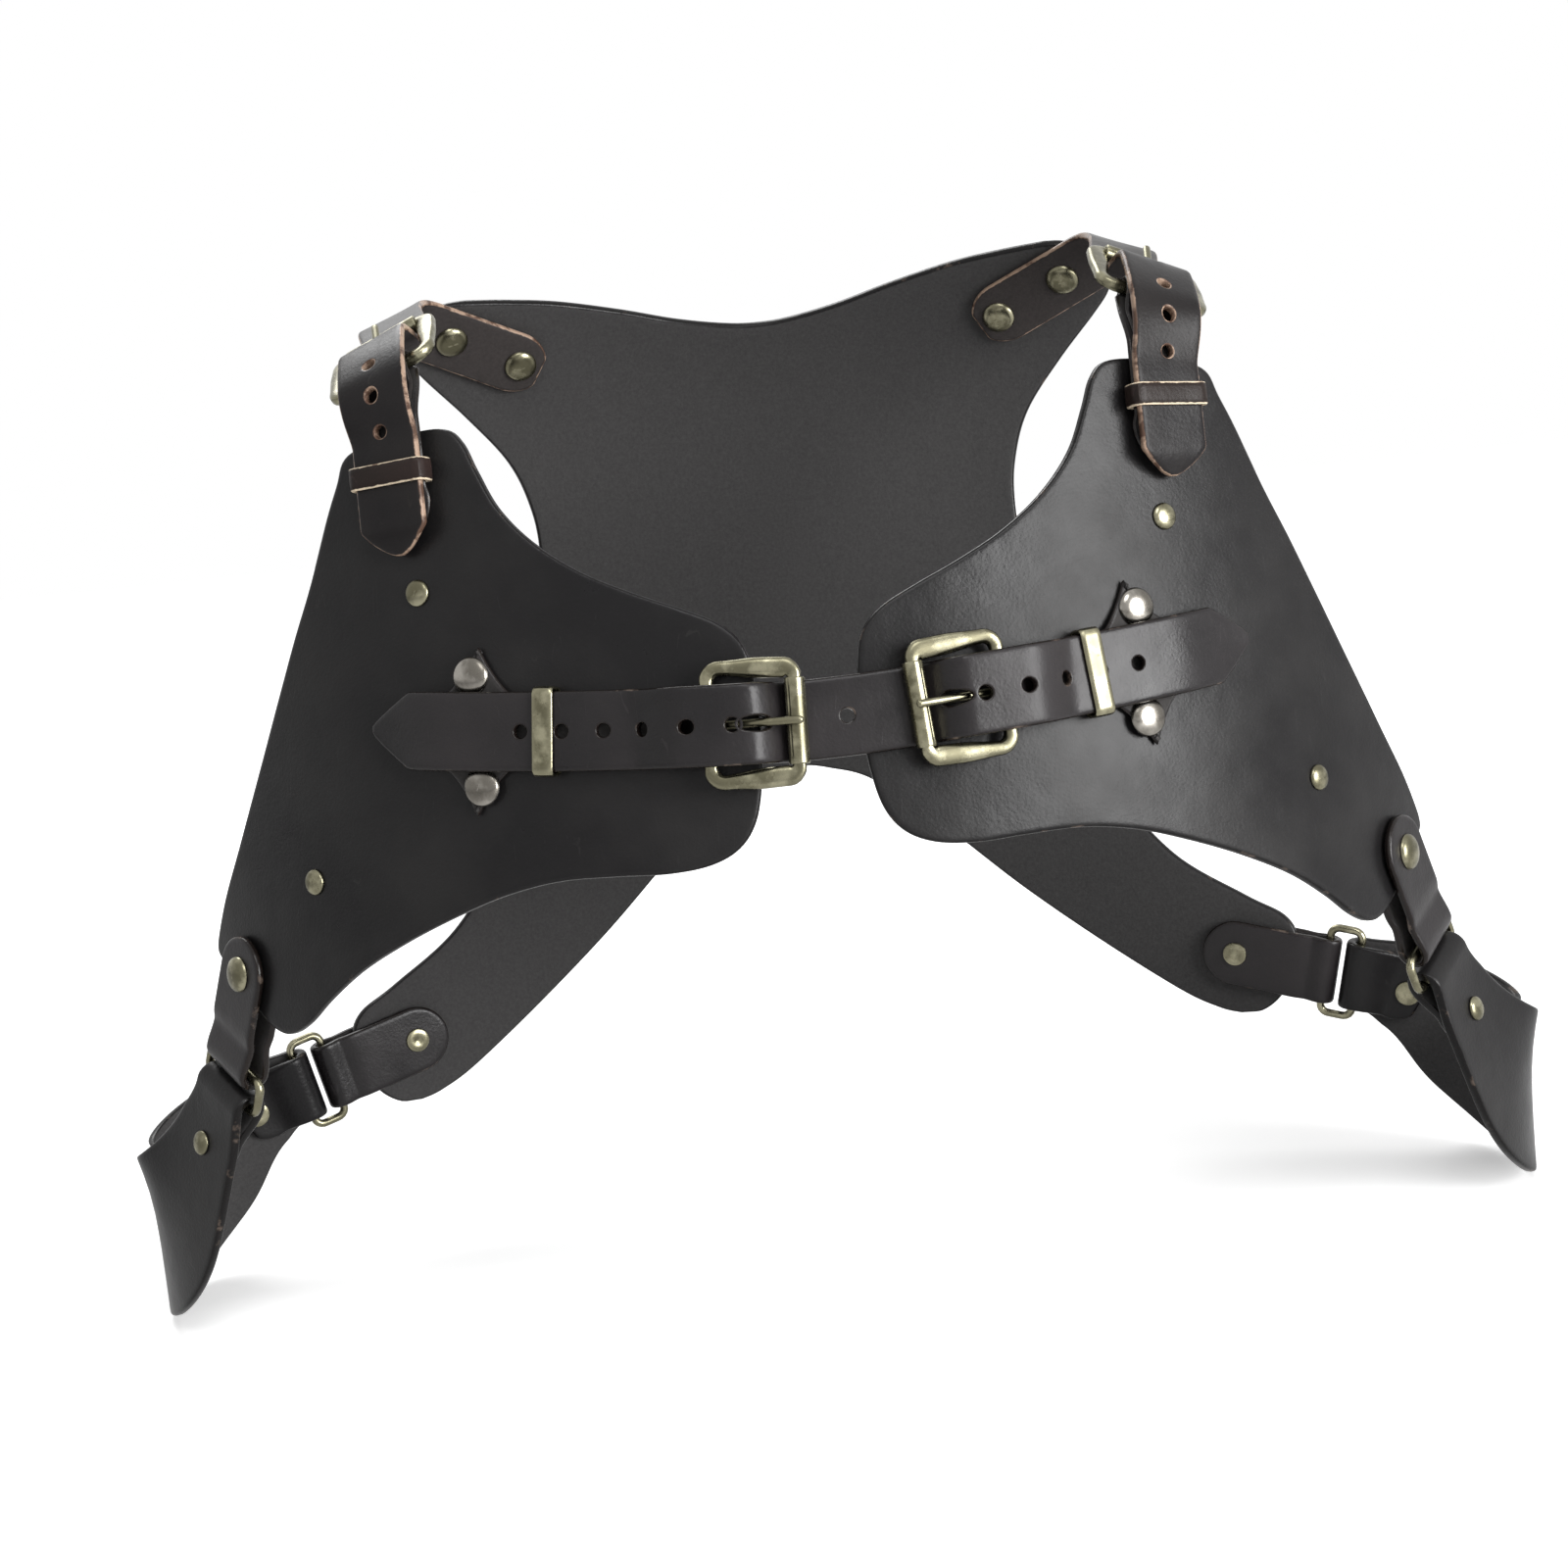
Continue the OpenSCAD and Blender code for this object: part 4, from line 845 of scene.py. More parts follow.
def colour(code):
    """sRGB hex to a linear colour."""
    c = [int(code[i:i + 2], 16) / 255 for i in (1, 3, 5)]
    return [x / 12.92 if x <= 0.04045 else ((x + 0.055) / 1.055) ** 2.4 for x in c] + [1.0]


def node(tree, kind, inputs=None, **values):
    """Adds a shader node with its settings, and sets or links its inputs.

    A colour mix takes its factor at 0 and its colours at 6 and 7, and gives output 2.
    """
    n = tree.nodes.new(kind)
    for key, value in values.items():
        setattr(n, key, value)
    for key, value in (inputs or {}).items():
        if isinstance(value, bpy.types.NodeSocket):
            tree.links.new(value, n.inputs[key])
        else:
            n.inputs[key].default_value = value
    return n


def per_metre(mm):
    """Texture scale for a pattern whose cells are this many mm."""
    return 1000.0 / mm


def new_material(name):
    material = bpy.data.materials.new(name)
    material.use_nodes = True
    tree = material.node_tree
    tree.nodes.clear()
    return material, tree


def dyed_leather(name, face, worn, edge, bare, flesh, roughness, edge_mm, wear, wax):
    """Vegetable-tanned cowhide, dyed through the grain, waxed, and burnished along its cut edges.

    The eye sees a smooth face with a faint pebble, a wax sheen that breaks up in broad soft
    patches, hairline scratches, edges that catch the light and are rubbed back to tan in
    places, and a matt nap on the inner side.
    """
    material, tree = new_material(name)
    p = settings()
    coords = node(tree, "ShaderNodeTexCoord").outputs["Object"]
    rim = node(tree, "ShaderNodeAttribute", attribute_name="rim").outputs["Fac"]
    depth = node(tree, "ShaderNodeAttribute", attribute_name="depth").outputs["Fac"]
    cloud = node(tree, "ShaderNodeTexNoise",
                 {"Vector": coords, "Scale": per_metre(46), "Detail": 3.0, "Roughness": 0.5})
    mottle = node(tree, "ShaderNodeTexNoise",
                  {"Vector": coords, "Scale": per_metre(9), "Detail": 5.0, "Roughness": 0.6})
    nick = node(tree, "ShaderNodeTexNoise",
                {"Vector": coords, "Scale": per_metre(2.4), "Detail": 5.0, "Roughness": 0.7})
    fibre = node(tree, "ShaderNodeTexNoise",
                 {"Vector": coords, "Scale": per_metre(1.2), "Detail": 4.0, "Roughness": 0.75})
    # Real follicle cells are about half as wide: drawn this coarse so that they show
    pebble = node(tree, "ShaderNodeTexVoronoi",
                  {"Vector": coords, "Scale": per_metre(p.grain * 1000)}, feature="SMOOTH_F1")
    pore = node(tree, "ShaderNodeTexVoronoi", {"Vector": coords, "Scale": per_metre(p.grain * 450)})
    # Hairline scratches: the thin line where a long stretched noise crosses its middle value
    drawn = node(tree, "ShaderNodeMapping",
                 {"Vector": coords, "Rotation": (0.5, 0.4, 0.9), "Scale": (1.0, 1.0, 0.1)})
    streak = node(tree, "ShaderNodeTexNoise",
                  {"Vector": drawn.outputs[0], "Scale": per_metre(7), "Detail": 1.0})
    line = node(tree, "ShaderNodeMath", {0: streak.outputs["Fac"], 1: 0.5, 2: 0.006}, operation="COMPARE")
    some = node(tree, "ShaderNodeMapRange",
                {"Value": mottle.outputs["Fac"], "From Min": 0.56, "From Max": 0.62})
    scratch = node(tree, "ShaderNodeMath", {0: line.outputs[0], 1: some.outputs[0]}, operation="MULTIPLY")
    scratch = scratch.outputs[0]

    # The dye lies unevenly: darker and lighter clouds, and small worn flecks
    patch = node(tree, "ShaderNodeMapRange",
                 {"Value": cloud.outputs["Fac"], "From Min": 0.38, "From Max": 0.66})
    skin = node(tree, "ShaderNodeMix", {0: patch.outputs[0], 6: colour(face), 7: colour(worn)},
                data_type="RGBA")
    fleck = node(tree, "ShaderNodeMapRange",
                 {"Value": nick.outputs["Fac"], "From Min": 0.6, "From Max": 0.78, "To Max": 0.5})
    fleck = node(tree, "ShaderNodeMath", {0: fleck.outputs[0], 1: scratch}, operation="MAXIMUM")
    skin = node(tree, "ShaderNodeMix", {0: fleck.outputs[0], 6: skin.outputs[2], 7: colour(worn)},
                data_type="RGBA")

    # Inner side: undyed nap, a little lighter and quite matt
    inner = node(tree, "ShaderNodeMapRange", {"Value": depth, "From Min": 0.08, "From Max": 0.02}).outputs[0]
    tuft = node(tree, "ShaderNodeMapRange", {"Value": fibre.outputs["Fac"], "From Min": 0.3, "From Max": 0.7,
                                             "To Min": 0.6, "To Max": 1.0})
    nap = node(tree, "ShaderNodeMix", {0: tuft.outputs[0], 6: colour(face), 7: colour(flesh)},
               data_type="RGBA")
    skin = node(tree, "ShaderNodeMix", {0: inner, 6: skin.outputs[2], 7: nap.outputs[2]}, data_type="RGBA")

    # Cut edge: burnished dark, and rubbed bare where it knocks against things
    wander = node(tree, "ShaderNodeMath", {0: nick.outputs["Fac"], 1: 0.9, 2: rim}, operation="MULTIPLY_ADD")
    burnish = node(tree, "ShaderNodeMapRange",
                   {"Value": wander.outputs[0], "From Min": edge_mm + 0.6, "From Max": edge_mm + 0.35})
    burnish = burnish.outputs[0]
    bare_from = 0.72 - 0.4 * wear * p.edge_wear
    rubbed = node(tree, "ShaderNodeMapRange",
                  {"Value": mottle.outputs["Fac"], "From Min": bare_from, "From Max": bare_from + 0.08})
    cut = node(tree, "ShaderNodeMix", {0: rubbed.outputs[0], 6: colour(edge), 7: colour(bare)},
               data_type="RGBA")
    skin = node(tree, "ShaderNodeMix", {0: burnish, 6: skin.outputs[2], 7: cut.outputs[2]}, data_type="RGBA")

    # Relief, from the broad waves of the hide down to its pores and scratches
    wave = node(tree, "ShaderNodeBump",
                {"Height": cloud.outputs["Fac"], "Strength": 0.5, "Distance": 0.0024})
    crease = node(tree, "ShaderNodeBump", {"Height": mottle.outputs["Fac"], "Normal": wave.outputs[0],
                                           "Strength": 0.3, "Distance": 0.00025})
    cells = node(tree, "ShaderNodeBump", {"Height": pebble.outputs["Distance"], "Normal": crease.outputs[0],
                                          "Strength": 0.22, "Distance": 0.0002})
    pores = node(tree, "ShaderNodeBump", {"Height": pore.outputs["Distance"], "Normal": cells.outputs[0],
                                          "Strength": 0.14, "Distance": 0.0001})
    cuts = node(tree, "ShaderNodeBump", {"Height": scratch, "Normal": pores.outputs[0], "Strength": 0.25,
                                         "Distance": 0.0001}, invert=True)

    # Sheen: broad patches of wax, an edge that burnishing makes glossier, and a matt inner side
    gloss = node(tree, "ShaderNodeMapRange", {"Value": cloud.outputs["Fac"], "From Min": 0.3, "From Max": 0.7,
                                              "To Min": roughness - 0.07, "To Max": roughness + 0.07})
    gloss = node(tree, "ShaderNodeMath", {0: mottle.outputs["Fac"], 1: 0.14, 2: gloss.outputs[0]},
                 operation="MULTIPLY_ADD")
    gloss = node(tree, "ShaderNodeMath", {0: burnish, 1: -0.1, 2: gloss.outputs[0]},
                 operation="MULTIPLY_ADD")
    matt = node(tree, "ShaderNodeMath", {0: inner, 1: 0.8}, operation="MULTIPLY")
    rough = node(tree, "ShaderNodeMath", {0: gloss.outputs[0], 1: matt.outputs[0]}, operation="MAXIMUM")
    shader = node(tree, "ShaderNodeBsdfPrincipled",
                  {"Base Color": skin.outputs[2], "Roughness": rough.outputs[0], "Normal": cuts.outputs[0],
                   "IOR": 1.5, "Specular IOR Level": wax})
    node(tree, "ShaderNodeOutputMaterial", {"Surface": shader.outputs[0]})
    return material


def plated_metal(name, bright, shade, dirt, roughness, grain_mm):
    """Die-cast fittings, plated, toned in a bath and rubbed back.

    The eye sees a soft satin metal, dark and dirty in its hollows, lighter and smoother on
    its high edges, with small casting pits and blotches of tone.
    """
    material, tree = new_material(name)
    coords = node(tree, "ShaderNodeTexCoord").outputs["Object"]
    tone = node(tree, "ShaderNodeTexNoise",
                {"Vector": coords, "Scale": per_metre(7), "Detail": 4.0, "Roughness": 0.55})
    pit = node(tree, "ShaderNodeTexNoise",
               {"Vector": coords, "Scale": per_metre(grain_mm), "Detail": 3.0, "Roughness": 0.6})
    pointed = node(tree, "ShaderNodeNewGeometry").outputs["Pointiness"]
    raised = node(tree, "ShaderNodeMapRange",
                  {"Value": pointed, "From Min": 0.49, "From Max": 0.56, "To Max": 0.7})
    hollow = node(tree, "ShaderNodeMapRange",
                  {"Value": pointed, "From Min": 0.49, "From Max": 0.43, "To Max": 0.8})
    blotch = node(tree, "ShaderNodeMapRange",
                  {"Value": tone.outputs["Fac"], "From Min": 0.4, "From Max": 0.64})
    rubbed = node(tree, "ShaderNodeMath", {0: blotch.outputs[0], 1: raised.outputs[0]}, operation="MAXIMUM")
    skin = node(tree, "ShaderNodeMix", {0: rubbed.outputs[0], 6: colour(shade), 7: colour(bright)},
                data_type="RGBA")
    spots = node(tree, "ShaderNodeMapRange",
                 {"Value": pit.outputs["Fac"], "From Min": 0.62, "From Max": 0.74, "To Max": 0.4})
    grime = node(tree, "ShaderNodeMath", {0: hollow.outputs[0], 1: spots.outputs[0]}, operation="MAXIMUM")
    skin = node(tree, "ShaderNodeMix", {0: grime.outputs[0], 6: skin.outputs[2], 7: colour(dirt)},
                data_type="RGBA")
    satin = node(tree, "ShaderNodeMapRange",
                 {"Value": tone.outputs["Fac"], "From Min": 0.35, "From Max": 0.65,
                  "To Min": roughness + 0.06, "To Max": roughness - 0.06})
    rough = node(tree, "ShaderNodeMath", {0: grime.outputs[0], 1: 0.25, 2: satin.outputs[0]},
                 operation="MULTIPLY_ADD")
    bump = node(tree, "ShaderNodeBump", {"Height": pit.outputs["Fac"], "Strength": 0.12, "Distance": 0.00003})
    shader = node(tree, "ShaderNodeBsdfPrincipled",
                  {"Base Color": skin.outputs[2], "Roughness": rough.outputs[0], "Normal": bump.outputs[0],
                   "Metallic": 1.0})
    node(tree, "ShaderNodeOutputMaterial", {"Surface": shader.outputs[0]})
    return material


def material_for(finish):
    """The harness's finishes, made once each."""
    if finish in bpy.data.materials:
        return bpy.data.materials[finish]
    p = settings()
    rough, metal = p.leather_roughness, p.metal_roughness
    if finish == "black bridle leather":
        # Thick panels: near black, with a low wax sheen and edges kept dark
        return dyed_leather(finish, p.leather_hex, worn="#1d1c1c", edge="#0c0a0a", bare="#4a4039",
                            flesh="#3c3b3b", roughness=rough, edge_mm=0.5, wear=0.3, wax=0.19)
    if finish == "black strap leather":
        # Straps and links: the same dye a little browner, handled to a higher shine
        return dyed_leather(finish, p.strap_hex, worn="#242122", edge="#171210", bare="#564b43",
                            flesh="#363433", roughness=rough - 0.02, edge_mm=0.5, wear=0.3, wax=0.25)
    if finish == "worn strap leather":
        # Shoulder straps: their edges are rubbed through to tan
        return dyed_leather(finish, p.strap_hex, worn="#221f1e", edge="#503d33", bare="#97806f",
                            flesh="#363231", roughness=rough + 0.02, edge_mm=0.55, wear=0.7, wax=0.15)
    if finish == "brown loop leather":
        # Shoulder keepers: thin dark brown leather, pale along its raw edges
        return dyed_leather(finish, "#1d1613", worn="#2c2220", edge="#86705f", bare="#d3c2a9",
                            flesh="#40342c", roughness=rough + 0.04, edge_mm=0.35, wear=0.9, wax=0.15)
    if finish == "antique brass plate":
        # Buckles, rings, studs and caps: greenish old brass, brown in its hollows
        return plated_metal(finish, p.brass_hex, shade="#4f4c3b", dirt="#17150f", roughness=metal,
                            grain_mm=0.8)
    if finish == "nickel plate":
        # Large rivets of the buckle bases: greyer and a little brighter
        return plated_metal(finish, p.nickel_hex, shade="#5f5b54", dirt="#25221f", roughness=metal - 0.04,
                            grain_mm=0.9)
    raise RuntimeError(f"no finish named {finish}")


# Leather pieces


def front_panel(s):
    outline = closed_curve(PANEL_LOWER + PANEL_UPPER[::-1], 1.6)
    return leather(f"panel_front_{SIDES[s]}", outline, [], grid((10, -95), (240, 100), 4.0), chest, PANEL_T,
                   "black bridle leather", [f"front_panel_{SIDES[s]}"], mirror=s < 0)


def back_panel():
    right = BACK_ARCH + BACK_ARMHOLE + BACK_NECK
    left = [(-x, v) for x, v in reversed(right) if x > 0]
    outline = closed_curve(right + left, 1.8)
    return leather("panel_back", outline, [], grid((-182, -155), (182, 148), 4.4), back, PANEL_T,
                   "black bridle leather", ["back_panel"])


def strap_slot(line, spot):
    """Where a buckle's prong comes up through a strap: the place along the line nearest to it."""
    middle = line.at(line.s, np.zeros(len(line.s)), np.full(len(line.s), STRAP_T / 2))
    r = np.arange(5.0, 24.0, 0.25)[:, None]
    prong_line = spot(r * [math.cos(PRONG_SLOPE), 0, math.sin(PRONG_SLOPE)])
    gap = np.linalg.norm(middle[None] - prong_line[:, None], axis=2)
    return line.s[np.unravel_index(gap.argmin(), gap.shape)[1]]


def chest_strap():
    us = np.arange(-TIP_U[-1], TIP_U[1] + 0.01, 0.5)
    points, across, half = [], [], []
    for u in us:
        s = -1 if u < 0 else 1
        points.append(chest_line(u, chest_level(abs(u), s)))
        across.append(chest_down(u))
        half.append(tip_half(TIP_U[s] - abs(u), POINT_LEN))
    line = Line(points, across)

    def hole(u):
        return (float(np.interp(u, us, line.s)), 0, HOLE_R, HOLE_R)

    holes = [hole(HOLE_MIDDLE)]
    for s in SIDES:
        holes += [hole(s * u) for u in HOLE_U[s]]
        # The buckle without its mirroring, against the strap turned over to the same side
        buckle = chest_buckle(s)
        buckle.mirror = False
        turned_over = Line([p * [s, 1, 1] for p in points], across)
        holes.append((strap_slot(turned_over, buckle), 0, *STRAP_SLOT))
    return strap("strap_chest", line, half, holes, STRAP_T, "black strap leather", ["chest_strap"])


def shoulder_strap(s):
    qs = np.arange(Q_TIP, Q_END + 0.01, 0.5)
    points = [shoulder_line(q, shoulder_level(q)) for q in qs]
    across = [shoulder_out(q) for q in qs]
    half = [min(tip_half(q - Q_TIP, SHOULDER_POINT), round_half(Q_END - q + 1.5, STRAP_W)) for q in qs]
    line = Line(points, across)
    places = [float(np.interp(Q_BAR - 3 - k * SHOULDER_HOLE_PITCH, qs, line.s)) for k in range(3)]
    holes = [(place, 0, HOLE_R, HOLE_R) for place in places]
    holes.append((strap_slot(line, shoulder_buckle(1)), 0, *STRAP_SLOT))
    return strap(f"strap_shoulder_{SIDES[s]}", line, half, holes, STRAP_T, "worn strap leather",
                 [f"shoulder_strap_{SIDES[s]}"], mirror=s < 0)


def fold_angles(start, end):
    """Angles of a fold's points in radians, from its start and end in degrees."""
    return np.radians(np.linspace(start, end, FOLD_POINTS))


def chape_fold(spot):
    """A strip's way round its chape bar, in the buckle's axes."""
    a = fold_angles(-88, 90)
    local = np.stack([FOLD_R * np.cos(a), np.zeros(len(a)), FOLD_R * np.sin(a)], axis=1)
    return list(local @ spot.m + spot.p)


def fold_slot(line, spot):
    """The prong's slot in a fold round the chape bar, at the fold's nose."""
    nose = spot.p + FOLD_R * spot.m[0]
    return [(float(line.s[np.argmin(np.linalg.norm(line.c - nose, axis=1))]), 0, *FOLD_SLOT)]


def buckle_base(s):
    """Diamond patch, strip, fold round the chape bar and short under-layer, in one piece."""
    patch, bar = PATCH_U[s], BAR_U[s]
    keeper = KEEPER_U[s] + KEEPER_W / 2 + 1
    top = BASE_T + STRIP_FLOOR
    spot = chest_buckle(s)
    points, across, half = [], [], []

    def add(d, w, h):
        turn = float(smooth(d, bar + 14, bar + 2, 0, 1))
        points.append(chest_line(d, w))
        across.append(chest_down(d) + (spot.m[1] - chest_down(d)) * turn)
        half.append(h)

    for d in np.arange(patch + PATCH_LEN + 2, bar, -0.5):
        x = min(1.0, max(0.0, 1 - abs(d - patch) / PATCH_LEN))
        flare = STRIP_W / 2 + (PATCH_REACH - STRIP_W / 2) * x**1.7
        h = min(flare, round_half(patch + PATCH_LEN + 3 - d, STRIP_W) + 40 * x)
        add(d, float(smooth(d, keeper, patch - 4, top, PATCH_FLOOR + BASE_T)), h)
    fold = chape_fold(spot)
    points += fold
    across += [spot.m[1]] * len(fold)
    half += [STRIP_W / 2] * len(fold)
    for d in np.arange(bar + 0.5, bar + UNDER_LEN + 0.01, 0.5):
        add(d, float(smooth(d, bar + 1, bar + 10, CHAPE_H + FOLD_R, top + 0.15)), STRIP_W / 2)
    line = Line(points, across)
    return strap(f"base_{SIDES[s]}", line, half, fold_slot(line, spot), BASE_T, "black strap leather",
                 [f"buckle_base_{SIDES[s]}"], mirror=s < 0)


def shoulder_anchor(s):
    """Strip under the shoulder strap's tip, with its fold round the chape bar."""
    top = BASE_T + STRIP_FLOOR
    lift = Q_LOOP - LOOP_W / 2 - 1
    spot = shoulder_buckle(s)
    points, across, half = [], [], []

    def add(q, w, h):
        points.append(shoulder_line(q, w))
        across.append(-shoulder_out(q))
        half.append(h)

    for q in np.arange(Q_ANCHOR, Q_BAR, 0.5):
        h = round_half(q - Q_ANCHOR + 1, STRIP_W + 2)
        add(q, float(smooth(q, lift - 4, lift, PATCH_FLOOR + BASE_T, top)), h)
    fold = chape_fold(spot)
    points += fold
    across += [spot.m[1]] * len(fold)
    half += [STRIP_W / 2] * len(fold)
    for q in np.arange(Q_BAR - 0.5, Q_BAR - UNDER_LEN - 0.01, -0.5):
        add(q, float(smooth(-q, 1 - Q_BAR, 10 - Q_BAR, CHAPE_H + FOLD_R, top + 0.15)), STRIP_W / 2)
    line = Line(points, across)
    return strap(f"anchor_{SIDES[s]}", line, half, fold_slot(line, spot), BASE_T, "black strap leather",
                 [f"shoulder_anchor_{SIDES[s]}"], mirror=s < 0)


def link(s, where):
    """Leather link folded round its ring, its two leaves pinched on the panel's corner."""
    p, run, n = LINK_SEATS[where]
    spot = Spot(p, run, n)
    gap = PANEL_T / 2 + LINK_GAP
    edge = {"front": 18.0, "rear": 23.0}[where]

    def rise(x):
        if x < edge + 5:
            return float(smooth(x, edge, edge + 5, gap, LINK_PINCH))
        return float(smooth(x, edge + 5, LINK_REACH, LINK_PINCH, EYE_R))

    xs = np.arange(-LINK_W / 2, LINK_REACH, 0.5)
    local = [(x, 0, rise(x)) for x in xs]
    local += [(LINK_REACH + EYE_R * math.cos(a), 0, EYE_R * math.sin(a)) for a in fold_angles(88, -88)]
    local += [(x, 0, -rise(x)) for x in xs[::-1]]
    local = np.array(local) + [0, 0, PANEL_T / 2]
    points = spot(local)
    across = np.tile(-spot.m[1], (len(points), 1))
    half = [round_half(max(0.02, x + LINK_W / 2), LINK_W) if x < 0 else LINK_W / 2 for x, _, _ in local]
    return strap(f"link_{where}_{SIDES[s]}", Line(points, across), half, [], STRAP_T, "black strap leather",
                 [f"{where}_link_{SIDES[s]}"], mirror=s < 0)


def flank_panel(s):
    """One sheet round the waist, with a flap folded back through a ring at each end."""
    end = 2 * FLANK_HALF_LEN
    points, across, half = [], [], []

    def add(p, l, h):
        points.append(p)
        across.append(l)
        half.append(h)

    def add_flap(q, d):
        add(flank_spot(q) - flank_n(q) * flap_gap(d), flank_l(q), round_half(FLAP_LEN - d + 2.5, LINK_W))

    flap = np.arange(FLAP_LEN, 0.4, -0.5)
    for d in flap:
        add_flap(d, d)
    for a in fold_angles(0, 178):
        add(FRONT_FOLD - FRONT_RUN * EYE_R * math.sin(a) - FRONT_N * EYE_R * math.cos(a), FRONT_L,
            LINK_W / 2 + FOLD_FLARE * a / math.pi)
    for q in np.arange(0, end + 0.01, 0.5):
        add(flank_spot(q), flank_l(q), flank_half_w(q))
    for a in fold_angles(4, 180):
        add(REAR_FOLD - REAR_RUN * EYE_R * math.sin(a) + REAR_N * EYE_R * math.cos(a), REAR_L,
            LINK_W / 2 + FOLD_FLARE - FOLD_FLARE * a / math.pi)
    for d in flap[::-1]:
        add_flap(end - d, d)
    return strap(f"flank_{SIDES[s]}", Line(points, across), half, [], PANEL_T, "black bridle leather",
                 [f"flank_panel_{SIDES[s]}"], mirror=s < 0)


# Hardware


def superellipse(n, wide, tall, power=2.6):
    """Section of a cast bar, wide across and tall through it."""
    a = np.linspace(0, 2 * np.pi, n, endpoint=False)
    c, s = np.cos(a), np.sin(a)
    x, y = (np.sign(k) * np.abs(k) ** (2 / power) for k in (c, s))
    return np.stack([x * wide / 2, y * tall / 2], axis=1)


def round_rect(x0, x1, y0, y1, r, n, step):
    """Closed path of a rectangle with corners of radius r, in even steps."""
    corners = ((x1 - r, y1 - r, 0), (x0 + r, y1 - r, 90), (x0 + r, y0 + r, 180), (x1 - r, y0 + r, 270))
    path = []
    for cx, cy, a0 in corners:
        for a in np.radians(np.linspace(a0, a0 + 90, n)):
            path.append((cx + r * math.cos(a), cy + r * math.sin(a)))
    return resample(np.array(path), step, True)


def wire_loop(name, path, wide, tall, power, spot, nodes, n=16):
    """Sweeps a section round a flat closed path; wide and tall are given at each point."""
    sections = []
    for p, m, w, t in zip(path, loop_normals(path), wide, tall):
        e = superellipse(n, w, t, power)
        sections.append(spot(np.stack([p[0] + m[0] * e[:, 0], p[1] + m[1] * e[:, 0], e[:, 1]], axis=1)))
    return sweep(name, sections, "antique brass plate", nodes)


def buckle_frame(name, spot, nodes):
    """Cast roller-buckle frame: two round bars, and flat arms that widen towards the roller."""
    inner = ROLLER_LEN / 2 + 0.2
    r0 = (FRAME_W - ARM_D) / 2 - inner
    r1 = (FRAME_W - ARM_WIDE) / 2 - inner
    turn = np.radians(np.linspace(0, 90, 9))
    half = [(r0 * (1 - math.cos(a)), inner + r0 * math.sin(a)) for a in turn]
    half += [(BAR_GAP - r1 * (1 - math.cos(a)), inner + r1 * math.sin(a)) for a in turn[::-1]]
    path = resample(np.array([(x, -y) for x, y in half[::-1]] + half), 0.9, True)
    x, y = path[:, 0], np.abs(path[:, 1])
    arm = smooth(y, inner - 0.4, inner + 0.9, 0, 1)
    swell = smooth(x, r0, BAR_GAP * 0.62, 0, 1) * smooth(x, BAR_GAP - 0.9 * r1, BAR_GAP + 0.4, 1, 0)
    wide = 2 * BAR_R + arm * (ARM_D - 2 * BAR_R + (ARM_WIDE - ARM_D) * swell)
    tall = 2 * BAR_R - arm * 0.3
    return wire_loop(name, path, wide, tall, 3.0, spot, nodes, n=20)


def roller(name, spot, nodes):
    """Rolled tube that turns on the front bar, with eased ends and a closed seam."""
    n = 48
    a = np.linspace(0, 2 * np.pi, n, endpoint=False)
    seam = 0.22 * np.exp(-(((a - 2.2 + np.pi) % (2 * np.pi) - np.pi) / 0.07) ** 2)
    half = ROLLER_LEN / 2
    bore = BAR_R + RUN_GAP
    profile = [(bore, -half + 0.2), (bore + 0.25, -half), (ROLLER_R - 0.3, -half), (ROLLER_R, -half + 0.35)]
    profile += [(ROLLER_R, y) for y in np.linspace(-half + 3, half - 3, 7)]
    profile += [(ROLLER_R, half - 0.35), (ROLLER_R - 0.3, half), (bore + 0.25, half), (bore, half - 0.2)]
    sections = []
    for r, y in profile:
        rr = r - (seam if r > ROLLER_R - 0.1 else 0)
        sections.append(spot(np.stack([BAR_GAP + rr * np.cos(a), np.full(n, y), rr * np.sin(a)], axis=1)))
    return sweep(name, sections, "antique brass plate", nodes)


def prong(name, spot, nodes):
    """Bent wire prong: a flattened eye round the chape bar, a straight shank and a blunt tip."""
    bm = bmesh.new()
    bore, eye, half = BAR_R + RUN_GAP, BAR_R + 1.5, 1.7
    a = np.linspace(0, 2 * np.pi, 36, endpoint=False)
    ring = [(bore, -half + 0.15), (bore + 0.15, -half), (eye - 0.45, -half), (eye, -half + 0.5),
            (eye, half - 0.5), (eye - 0.45, half), (bore + 0.15, half), (bore, half - 0.15)]
    skin(bm, [spot(np.stack([r * np.cos(a), np.full(len(a), y), r * np.sin(a)], axis=1)) for r, y in ring])
    tip_len = 1.2
    length = math.hypot(BAR_GAP, PRONG_RISE) + 2.4
    run = np.array([math.cos(PRONG_SLOPE), 0, math.sin(PRONG_SLOPE)])
    up = np.array([-math.sin(PRONG_SLOPE), 0, math.cos(PRONG_SLOPE)])
    ts = list(np.linspace(BAR_R + 0.7, length - tip_len, 18))
    ts += [length - 0.7, length - 0.3, length - 0.08, length]
    rows = []
    for t in ts:
        k = (t - ts[0]) / (length - ts[0])
        tip = max(0.0, t - (length - tip_len)) / tip_len
        r = (1.4 - 0.22 * k) * math.sqrt(max(0.02, 1 - tip**2))
        e = superellipse(16, 2 * r, 2 * r * (1 - 0.12 * k), 2.2)
        rows.append(spot(run * t + e[:, :1] * np.array([0, 1.0, 0]) + e[:, 1:] * up))
    skin(bm, rows, closed=False)
    return finish_piece(name, bm, "antique brass plate", nodes)


